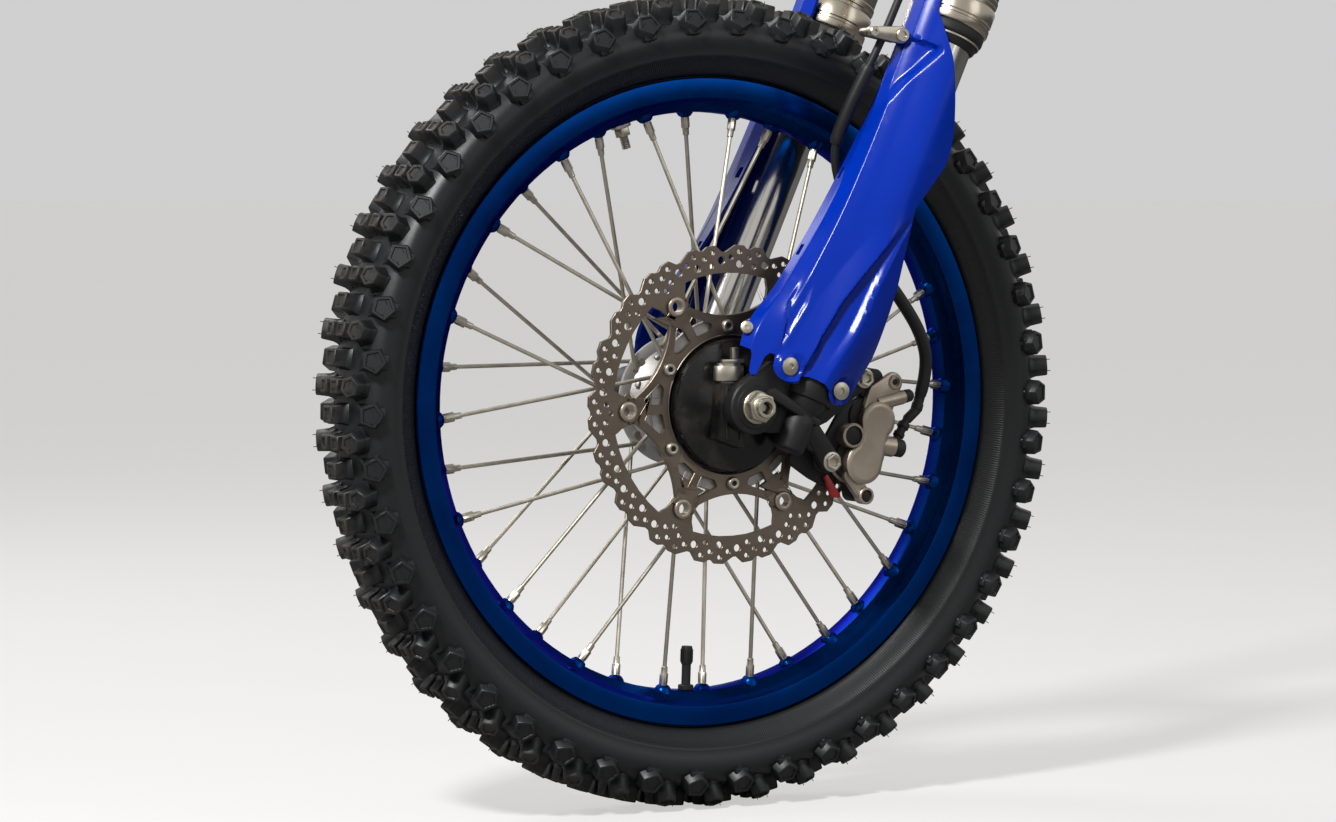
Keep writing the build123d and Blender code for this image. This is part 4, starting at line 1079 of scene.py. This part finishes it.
def guardColumns():  # the lower edge, as (part of the section, place in it, height)
    edge = []
    for line, (x, z, face, lobe, first, turn, count) in zip(("front", "arch"), guard["bolts"]):
        edge += guard[line] + ringPoints(x, z, lobe, count, first, turn)
    columns = []
    corner = guard["corner"]
    for x, z in spread(edge + guard["heel"], guard["step"]):
        turn = turnAt(x, z)
        end = turnAt(lineAt(guard["rearLow"], z), z)
        column = (0, turn, z) if turn <= corner else (1, min((turn - corner) / (end - corner), 1.0), z)
        if not columns or column[:2] > (columns[-1][0], columns[-1][1] + 0.003):
            columns.append(column)
    return columns


def guardShell():  # the left guard's outer face
    rows, corner = guard["rows"], guard["corner"]
    bm = bmesh.new()
    grid = []
    for part, place, low in guardColumns():
        line = []
        for k in range(rows + 1):
            height = low + (guard["top"] - low) * k / rows
            table = guard["rearLow"] if height < guard["notch"] else guard["rearHigh"]
            end = turnAt(lineAt(table, height), height)
            turn = place if part == 0 else corner + place * (end - corner)
            line.append((bm.verts.new((*guardPoint(turn, height), height)), turn, height))
        grid.append(line)
    for one, other in zip(grid, grid[1:]):
        for k in range(rows):
            corners = [one[k], other[k], other[k + 1], one[k + 1]]
            turn = sum(c[1] for c in corners) / 4
            height = sum(c[2] for c in corners) / 4
            if not any(a < turn < b and c < height < d for a, b, c, d in guard["slots"]):
                bm.faces.new([c[0] for c in corners])
    bmesh.ops.remove_doubles(bm, verts=bm.verts, dist=0.01)
    bmesh.ops.recalc_face_normals(bm, faces=bm.faces)
    bm.normal_update()
    if sum(f.normal.y * f.calc_area() for f in bm.faces) > 0:
        bmesh.ops.reverse_faces(bm, faces=bm.faces)
    return bm


def makeGuards():
    left = guardShell()
    right = left.copy()
    right.transform(Matrix.Scale(-1, 4, (0, 1, 0)))
    bmesh.ops.reverse_faces(right, faces=right.faces)
    for bm, name in ((left, "left"), (right, "right")):
        piece = finished(f"guard_{name}_shell", bm, "fork", "guard_blue", f"guard_{name}")
        wall = piece.modifiers.new("wall", "SOLIDIFY")
        wall.thickness = guard["wall"] * mm
        wall.offset = -1.0
        mesh = outcome(piece)
        piece.modifiers.clear()
        piece.data = mesh
        mesh.set_sharp_from_angle(angle=math.radians(45))
    spot, lean, size = guard["frontBolt"]
    for side, name in ((-1, "left"), (1, "right")):
        bolts = bmesh.new()
        flip = Vector((1, side, 1))
        for x, z, face, *_ in guard["bolts"]:
            seat = frameFrom(Vector((x, -side * face, z)), Vector((0, side, 0)), Vector((1, 0, 0)))
            put(bolts, lathe(guard["button"], 32), seat)
        front = frameFrom(Vector(spot) * flip, Vector(lean) * flip, Vector((0, 0, 1)))
        put(bolts, lathe(guard["button"], 32), front @ Matrix.Scale(size, 4))
        finished(f"guardBolts_{name}", bolts, "fork", "zinc_steel", f"guard_bolts_{name}")


lug = {
    # radius and height of the leg's foot, its shoulder and its socket
    "leg": [
        (0, -21), (11.5, -21), (13, -20), (13.8, -17), (14.4, 2), (14.2, 8), (13.2, 10), (13.2, 13),
        (14.6, 15), (17, 19), (18.6, 24.4), (21.2, 25.2), (22, 26.5), (22.4, 40), (23.2, 50), (24.4, 58),
        (24.6, 93), (0, 94),
    ],
    "left": {
        "boss": [(0, 0), (23, 0), (23.6, 1), (23.6, 13), (22.4, 14.4), (18.6, 14.8), (18, 16), (0, 16)],
        "bossPlace": onSide(-91.0),
        # each plate: its circles as x, z and radius, then its inner face and its thickness
        "plates": [
            ([(0, 0, 21), (46, 6, 12), (40, 40, 12)], -92, 11),
            ([(-2, 10, 17), (4, 34, 9), (40, 44, 10)], -92, 13),
            ([(8, 16, 5), (33, 14, 2.6), (58, 10, 3)], -104, 10.5),
            ([(56, 10, 7.5), (74, -2, 7), (92, -12.5, 9.5)], -91, 9),
            ([(52, 4, 11), (60, 2, 9), (70, -6, 6)], -93, 6),
            ([(62, 14, 7), (71, 20, 4.8), (82, 42, 4.4), (92.5, 66, 8.5)], -91, 8),
            ([(60, 22, 6), (80, 56, 3.6), (92.5, 66, 8)], -90, 7),
        ],
    },
    "right": {
        "boss": [(13.2, 0), (26.0, 0), (27.0, 1.0), (27.0, 25.0), (26.0, 26.0), (13.2, 26.0)],
        "bossPlace": at(0, 91.0) @ alongAxle,
        "plates": [
            ([(0, 0, 24), (46, 8, 13), (38, 42, 12)], 117, 22.0),
            ([(-10, -22, 10), (4, -20, 10), (-4, -6, 14)], 117, 26.0),
        ],
    },
    "edge": 1.4,
}


def makeLugs():
    for side, name in ((-1, "left"), (1, "right")):
        shape = lug[name]
        bm = lathe(lug["leg"])
        bm.transform(at(legLead, side * legHalf))
        put(bm, lathe(shape["boss"]), shape["bossPlace"])
        for circles, inner, thickness in shape["plates"]:
            put(bm, hullPlate(circles, thickness, lug["edge"]), onSide(inner))
        finished(f"lug{name.title()}", bm, "fork", "lug_black", f"lug_{name}", sharp=40)


axle = {
    "face": -107.0,  # outboard face of the left lug
    "flange": [(9.0, 0), (14.0, 0), (14.2, 0.5), (14.2, 2.4), (13.4, 3.2), (9.0, 3.4)],
    "nut": (6, 13.3, 8.2, 0.7),  # sides, radius, height, bevel
    "nutPlace": at(0, 0, 3.0) @ turned(12, "Z"),
    "end": [
        (9.0, 10.5), (10.2, 10.5), (10.2, 13.0), (9.4, 13.8), (8.6, 14.0), (8.6, 17.4), (8.2, 18.0),
        (5.8, 18.0), (5.4, 17.4), (5.4, 2.0), (9.0, 2.0),
    ],
    # black hex plug sunk into the axle end's bore: painted shade, standing for the dark inside of the hollow
    # end
    "socket": [(0, 9.0), (3.4, 9.0), (3.6, 12.0), (5.7, 12.0), (5.7, 4.0), (0, 4.0)],
    "shaft": [
        (5.5, -112), (9.8, -112), (9.8, 91), (12.3, 91), (12.3, 127), (11.5, 128), (6.2, 128), (5.5, 127),
    ],
    "spacer": [(10, 55.5), (15, 55.5), (16, 57), (16, 74), (18, 76), (18, 91), (10, 91)],
}


def makeAxle():
    nut = lathe(axle["flange"], 48)
    put(nut, prism(*axle["nut"]), axle["nutPlace"])
    put(nut, lathe(axle["end"], 48))
    # the black plug in the bore is painted shade of its inside
    socket = lathe(axle["socket"], 6)
    for bm in (nut, socket):
        bm.transform(onSide(axle["face"]))
    shaft, spacer = lathe(axle["shaft"], 48), lathe(axle["spacer"], 48)
    for bm in (shaft, spacer):
        bm.transform(alongAxle)
    finished("axleNut", nut, "fork", "zinc_steel", "axle_nut", place=wheelPlace)
    finished("axleBoreShade", socket, "fork", "black_plastic", place=wheelPlace)
    finished("axleShaft", shaft, "fork", "zinc_steel", "axle", place=wheelPlace)
    finished("axleSpacer", spacer, "fork", "clamp_alloy", "spacer_right", place=wheelPlace)


sensor = {
    "dish": [
        (10.1, 90.5), (16, 90.5), (17, 89.5), (17.5, 78), (22, 74.5), (40, 72), (53, 71.2), (56.2, 70.4),
        (57, 69), (57, 58.5), (53.5, 58.5), (53, 64.5), (24, 66), (22, 52.6), (10.1, 52.6),
    ],
    # the outlet, in the wheel's frame: y of its inner face and depth, and x, z and radius of its corners
    "column": (-75.0, 16.0, [(-22.1, 20, 2), (-3.6, 20, 2), (-23.6, -26, 4), (-5.6, -32, 4)]),
    "ribs": ((2.4, 6.0, 46.0), 0.6, [(-20.6, -89.6, -6.0), (-6.6, -89.6, -6.0)]),  # size, bevel, places
    "cap": [(0, 0), (13.6, 0), (14, 0.8), (14, 11.5), (13.2, 12.6), (11, 12.8), (10.8, 14.8), (0, 15)],
    "capPlace": at(-13.6, -83.0, 22.0) @ Matrix.Diagonal((1, 8 / 13, 1, 1)),
    # size, bevel and place of the clip on the cap, and of the stem above it
    "clips": [
        ((22.0, 3.5, 3.5), 0.8, (-12.6, -88.0, 38.5)),
        ((6.5, 5.0, 16.0), 0.9, (-7.6, -82.0, 42.0)),
    ],
    "screw": [(0, 0), (3.0, 0), (3.4, 0.5), (3.4, 2.4), (2.8, 3.0), (0, 3.0)],
    "screwPlace": at(-19.6, -86.0, 37.0),
}


def makeSensor():
    bm = lathe(sensor["dish"], 96)
    bm.transform(onSide(0))
    y, depth, corners = sensor["column"]
    put(bm, hullPlate(corners, depth, 2.4), onSide(y))
    size, bevel, places = sensor["ribs"]
    for place in places:
        put(bm, brick(size, bevel), at(*place))
    finished(
        "sensorDish", bm, "fork", "black_plastic", "sensor_housing", place=wheelPlace, paint=glossBlack()
    )
    bm = lathe(sensor["cap"], 40)
    bm.transform(sensor["capPlace"])
    for size, bevel, place in sensor["clips"]:
        put(bm, brick(size, bevel), at(*place))
    put(bm, lathe(sensor["screw"], 20), sensor["screwPlace"])
    finished("sensorCap", bm, "fork", "clamp_alloy", "sensor_cap", place=wheelPlace, paint=zinc)


caliper = {
    # circles as x, z and radius, then outboard face and thickness
    "silver": [
        ([(112.5, 38.5, 18.4)], -84.8, 1.6),
        ([(115, -1, 19.6)], -84.8, 1.6),
        ([(126, 30, 10.5), (127.5, 8, 11.5)], -99, 13),
        ([(106, 17, 8), (122, 20, 11)], -97.5, 8),
        ([(124.5, 75, 9.2), (112, 60, 8), (114, 46, 9), (126, 46, 8)], -96, 7),
        ([(119, -14, 8), (138, -25.5, 6.8)], -95, 7),
        ([(121, 38.5, 17), (124, -1, 18.5)], -80, 10),
        ([(134, 22, 9.5), (146, 24, 8.5)], -96, 14),
        ([(138, 50, 5.5), (145, 12, 5.5)], -84, 43),
        ([(119, 44, 8), (126, 5, 8), (145, 12, 5.5), (138, 50, 5.5)], -48.5, 7.5),
    ],
    "black": [
        ([(114, 38.5, 17.2), (121, 38.5, 17.2)], -90.5, 5.5),
        ([(117, -1, 18.3), (124, -1, 18.3)], -90.5, 5.5),
        ([(93, 66, 10), (109, 73, 7.5), (112, 58, 8)], -91, 8),
        ([(92, -12.5, 10), (104, 2, 10), (100, 30, 12), (110, 50, 8)], -88, 6),
        ([(70, -20, 8), (88, -24, 7), (110, -26, 6), (96, -4, 10)], -82, 6),
        ([(130, -14, 6), (138, -25, 6.4)], -87.5, 22),
    ],
    "edge": 2.4,
    # outline of the two cylinders' cover: each one's centre, radius, first angle and turn, and the
    # front waist between them
    "cover": [(122.0, 38.5, 16.4, -30, 245), (124.0, -1.0, 17.8, 140, 235)],
    "waist": [(110.5, 24.0), (112.0, 19.5), (110.5, 14.5)],
    "coverFace": (-100.0, 10.0, 1.1),  # outboard face, depth, edge
    "coverLip": [(2.2, 0.9), (1.2, 0.0)],  # width and rise of the steps to the raised middle
    # x, z, outboard face, depth, outer and inner radius of each pin's ring, and of the ear's hole
    "rings": [
        (102.5, 16.5, -102.0, 16.0, 10.6, 8.4), (138.0, -25.5, -99.0, 10.0, 7.4, 5.4),
        (125.0, 76.0, -97.6, 4.0, 6.6, 4.0),
    ],
    "bolts": [(93.0, 66.0, -99.0), (92.0, -12.5, -100.0)],
    "flange": [(0, -8), (5.0, -8), (5.0, 0), (8.4, 0), (8.6, 0.5), (8.6, 1.4), (7.0, 2.2), (0, 2.2)],
    "head": [(0, 3.2), (3.2, 3.4), (4.6, 5.8), (6.3, 6.0), (7.2, 5.2), (7.2, 1.0), (0, 1.0)],
    # the bleeder's and the hose port's barrel: its ends, where it starts, radius and edge, then its cap
    "barrels": [
        (
            (117.0, -93.0, 52.0), (141.0, -93.0, 69.0), 0.0, 6.3, (3.0, 0.8),
            [(0, -7.5), (3.6, -7.5), (5.4, -5.5), (5.8, -1), (5.8, 2), (0, 2)],
        ),
        (
            (139.0, -92.0, 22.0), (149.0, -92.0, 24.5), -4.0, 8.8, (1.0, 1.0),
            [(0, -9.5), (6.6, -9.5), (7.8, -8.4), (7.8, -1.4), (7.0, 0), (0, 0)],
        ),
    ],
    "tag": ([(101, -24, 2.2), (113, -35, 2.6), (118, -34, 2.4)], 3.5, 0.6, -83.5),  # the pads' red tab
}


def rodBetween(start, end, outline):  # turned piece from one point towards another
    start, end = Vector(start), Vector(end)
    bm = lathe(outline, 32)
    bm.transform(frameFrom(start, end - start, Vector((0, 1, 0.01))))
    return bm


def caliperCover():
    face, depth, edge = caliper["coverFace"]
    top, foot = (ringPoints(x, z, radius, 26, first, turn) for x, z, radius, first, turn in caliper["cover"])
    bm = cutPlate([top + caliper["waist"] + foot], depth, edge)
    bm.normal_update()
    flat = [f for f in bm.faces if f.normal.z > 0.99 and f.calc_center_median().z > 0.9 * depth]
    for width, rise in caliper["coverLip"]:
        bmesh.ops.inset_region(bm, faces=flat, thickness=width, depth=rise, use_even_offset=True)
    bm.transform(onSide(face + depth))
    return bm


def makeCaliper():
    silver, black, bolts = (bmesh.new() for _ in range(3))
    for bm, plates in ((silver, caliper["silver"]), (black, caliper["black"])):
        for circles, face, thickness in plates:
            put(bm, hullPlate(circles, thickness, caliper["edge"], 36), onSide(face + thickness))
    put(silver, caliperCover())
    for x, z, face, depth, outer, inner in caliper["rings"]:
        ring = [(inner, 0), (outer - 0.8, 0), (outer, 0.8), (outer, depth), (inner, depth)]
        # a black plug is set into each ring; in the ear's hole it is painted shade, standing for the dark
        # seen through the hole
        plugAndHoleShade = [(0, 1.6), (inner - 1.6, 1.4), (inner, 2.2), (inner, depth), (0, depth)]
        put(silver, lathe(ring, 36), at(x, face, z) @ alongAxle)
        put(black, lathe(plugAndHoleShade, 36), at(x, face, z) @ alongAxle)
    for start, end, base, radius, (height, edge), cap in caliper["barrels"]:
        length = (Vector(end) - Vector(start)).length
        barrel = [(0, base), (radius, base), (radius, length - height), (radius - edge, length), (0, length)]
        put(silver, rodBetween(start, end, barrel))
        put(black, rodBetween(end, start, cap))
    for x, z, face in caliper["bolts"]:
        put(bolts, lathe(caliper["flange"], 36), onSide(face, x, z))
        put(bolts, lathe(caliper["head"], 6), onSide(face, x, z))
    circles, thickness, edge, face = caliper["tag"]
    tag = hullPlate(circles, thickness, edge)
    tag.transform(onSide(face))
    finished("caliperBody", silver, "fork", "caliper_alloy", "caliper_body", "slider_pins", sharp=40)
    finished("caliperBoots", black, "fork", "black_rubber", "caliper_bracket", sharp=40)
    finished("caliperBolts", bolts, "fork", "zinc_steel", "caliper_bolts")
    finished("padTag", tag, "fork", "pad_iron", paint=redMark())


pads = {
    "middle": 123.0,  # distance from the axle
    "spacing": 22.0,
    "radius": 9.0,
    "lean": 12.4,  # degrees
    "plates": [(-63.9, 5.6), (-50.6, 7.0)],  # inner face and thickness
}


def makePads():
    bm = bmesh.new()
    ends = [(pads["middle"], side * pads["spacing"]) for side in (-1, 1)]
    circles = [(x, z, pads["radius"]) for x, z in turnedPoints(ends, pads["lean"])]
    for inner, thickness in pads["plates"]:
        put(bm, hullPlate(circles, thickness, 0.6), onSide(inner))
    finished("brakePads", bm, "fork", "pad_iron", "brake_pads")


legs = {
    "outer_tube": [
        (24.3, 376), (30.6, 376), (32, 377), (32.4, 378.4), (32.4, 383), (31.4, 384), (31.4, 386),
        (32.4, 387), (32.4, 399), (31.6, 400.4), (30.8, 401), (30.8, 404), (31.4, 404.8), (31.4, 409),
        (30.6, 410), (30.4, 455), (28.2, 475), (29.4, 660), (29.4, 732), (27.5, 766), (27.5, 929),
        (26.9, 930), (24.3, 930),
    ],
    "inner_tube": [(22, 50), (24, 50), (24, 620), (22, 620)],
    "dust_seal": [
        (24.2, 358.2), (25.4, 358.2), (26.6, 359.6), (28.4, 364.6), (28, 365.8), (29.6, 367), (30.6, 368),
        (30.9, 369.4), (30.9, 374.6), (30.4, 375.7), (24.2, 375.7),
    ],
    "seal_ring": [(28.6, 365), (29.4, 364.6), (29.6, 365.4), (29.4, 366.2), (28.6, 365.8)],
    "cap": [(0, 930.2), (25.4, 930.2), (26, 931), (26, 934), (24.6, 935), (0, 935)],
    "crown": (8, 24.0, 8.0, 1.0),  # sides, radius, height, bevel
    "crownFoot": 935.0,
    "knob": [(0, 943), (8.2, 943), (9, 943.8), (9, 948.2), (8.2, 949), (3.2, 949), (3, 947), (0, 947)],
    # part, name, slot, and whether it stands for the frame's own
    "parts": [
        ("outer_tube", "outerTube", "tube_silver", True), ("inner_tube", "innerTube", "chrome_tube", True),
        ("dust_seal", "dustSeal", "black_rubber", True), ("seal_ring", "sealRing", "zinc_steel", False),
    ],
}


def makeLegs():
    for side, name in ((-1, "left"), (1, "right")):
        place = at(legLead, side * legHalf)
        cap = lathe(legs["cap"])
        put(cap, prism(*legs["crown"]), at(0, 0, legs["crownFoot"]))
        put(cap, lathe(legs["knob"], 40))
        cap.transform(place)
        for part, label, slot, stands in legs["parts"]:
            bm = lathe(legs[part], 96)
            bm.transform(place)
            finished(f"{label}_{name}", bm, "fork", slot, *([f"{part}_{name}"] if stands else []))
        finished(f"forkCap_{name}", cap, "fork", "clamp_alloy", f"fork_cap_{name}")


hoseEnds = {
    # the swivel below the hose: from where to where each rod runs, and its outline
    "swivel": [
        (
            (162.4, -80.0, 84.0), (164.6, -80.0, 65.0),
            [
                (0, 0), (4.4, 0), (5.2, 0.8), (5.2, 5), (4.6, 6), (4.6, 12), (5.2, 13), (5.2, 18.4),
                (4.4, 19.2), (0, 19.2),
            ],
        ),
        (
            (164.8, -80.0, 66.0), (156.6, -83.0, 52.0),
            [(0, -3.6), (2.6, -3.2), (4.5, 0), (4.5, 14), (2.6, 17.6), (0, 18.4)],
        ),
        (
            (157.0, -83.0, 53.0), (152.4, -86.0, 29.0),
            [
                (0, -2), (3.4, -1), (3.6, 3), (5.2, 3.6), (5.4, 8), (4.0, 9), (4.0, 13), (5.0, 13.6),
                (5.0, 17), (3.8, 18), (3.8, 25), (0, 25),
            ],
        ),
    ],
    "eye": [(0, -5), (5.6, -5), (6.4, -4), (6.4, 4), (5.6, 5), (0, 5)],
    "eyePlace": at(150.5, -87.5, 26.0) @ turned(80, "Y"),
    # the clamp on the guard: its circles, and face, thickness, edge and shrinkage of its two layers
    "clamp": [(-26.5, 338.5, 4.8), (0.5, 348.0, 7.6)],
    "layers": [(-100.0, 7.5, 1.6, 0.0), (-88.0, 12.0, 1.0, 1.2)],
    "screws": (-107.5, (4.4, 6.2)),  # their face and radii
}


def makeHoseEnds():
    swivel, clamp = bmesh.new(), bmesh.new()
    for start, end, outline in hoseEnds["swivel"]:
        put(swivel, rodBetween(start, end, outline))
    eye = lathe(hoseEnds["eye"], 32)
    eye.transform(hoseEnds["eyePlace"])
    for face, thickness, edge, less in hoseEnds["layers"]:
        circles = [(x, z, radius - less) for x, z, radius in hoseEnds["clamp"]]
        put(clamp, hullPlate(circles, thickness, edge, 36), onSide(face))
    face, radii = hoseEnds["screws"]
    for (x, z, _), r in zip(hoseEnds["clamp"], radii):
        screw = [(0, 0), (r, 0), (r, 1.8), (r - 0.7, 2.6), (r * 0.5, 2.6), (r * 0.45, 1.2), (0, 1.2)]
        put(clamp, lathe(screw, 32), onSide(face, x, z))
    finished("hoseSwivel", swivel, "fork", "black_rubber", "banjo_lower")
    finished("hoseUnion", eye, "fork", "zinc_steel", "banjo_bolt")
    finished("hoseClamp", clamp, "fork", "clamp_alloy", "hose_clamp", paint=zinc)


makeTyre()
print("tyre is made")
makeSpokes()
makeRimFittings()
print("rim and spokes are made")
makeHub()
makeDisc()
makeCarrier()
print("hub and disc are made")
makeGuards()
print("guards are made")
makeLugs()
makeAxle()
makeSensor()
print("lugs and axle are made")
makeCaliper()
makePads()
makeLegs()
makeHoseEnds()
print("caliper, legs and hose ends are made")
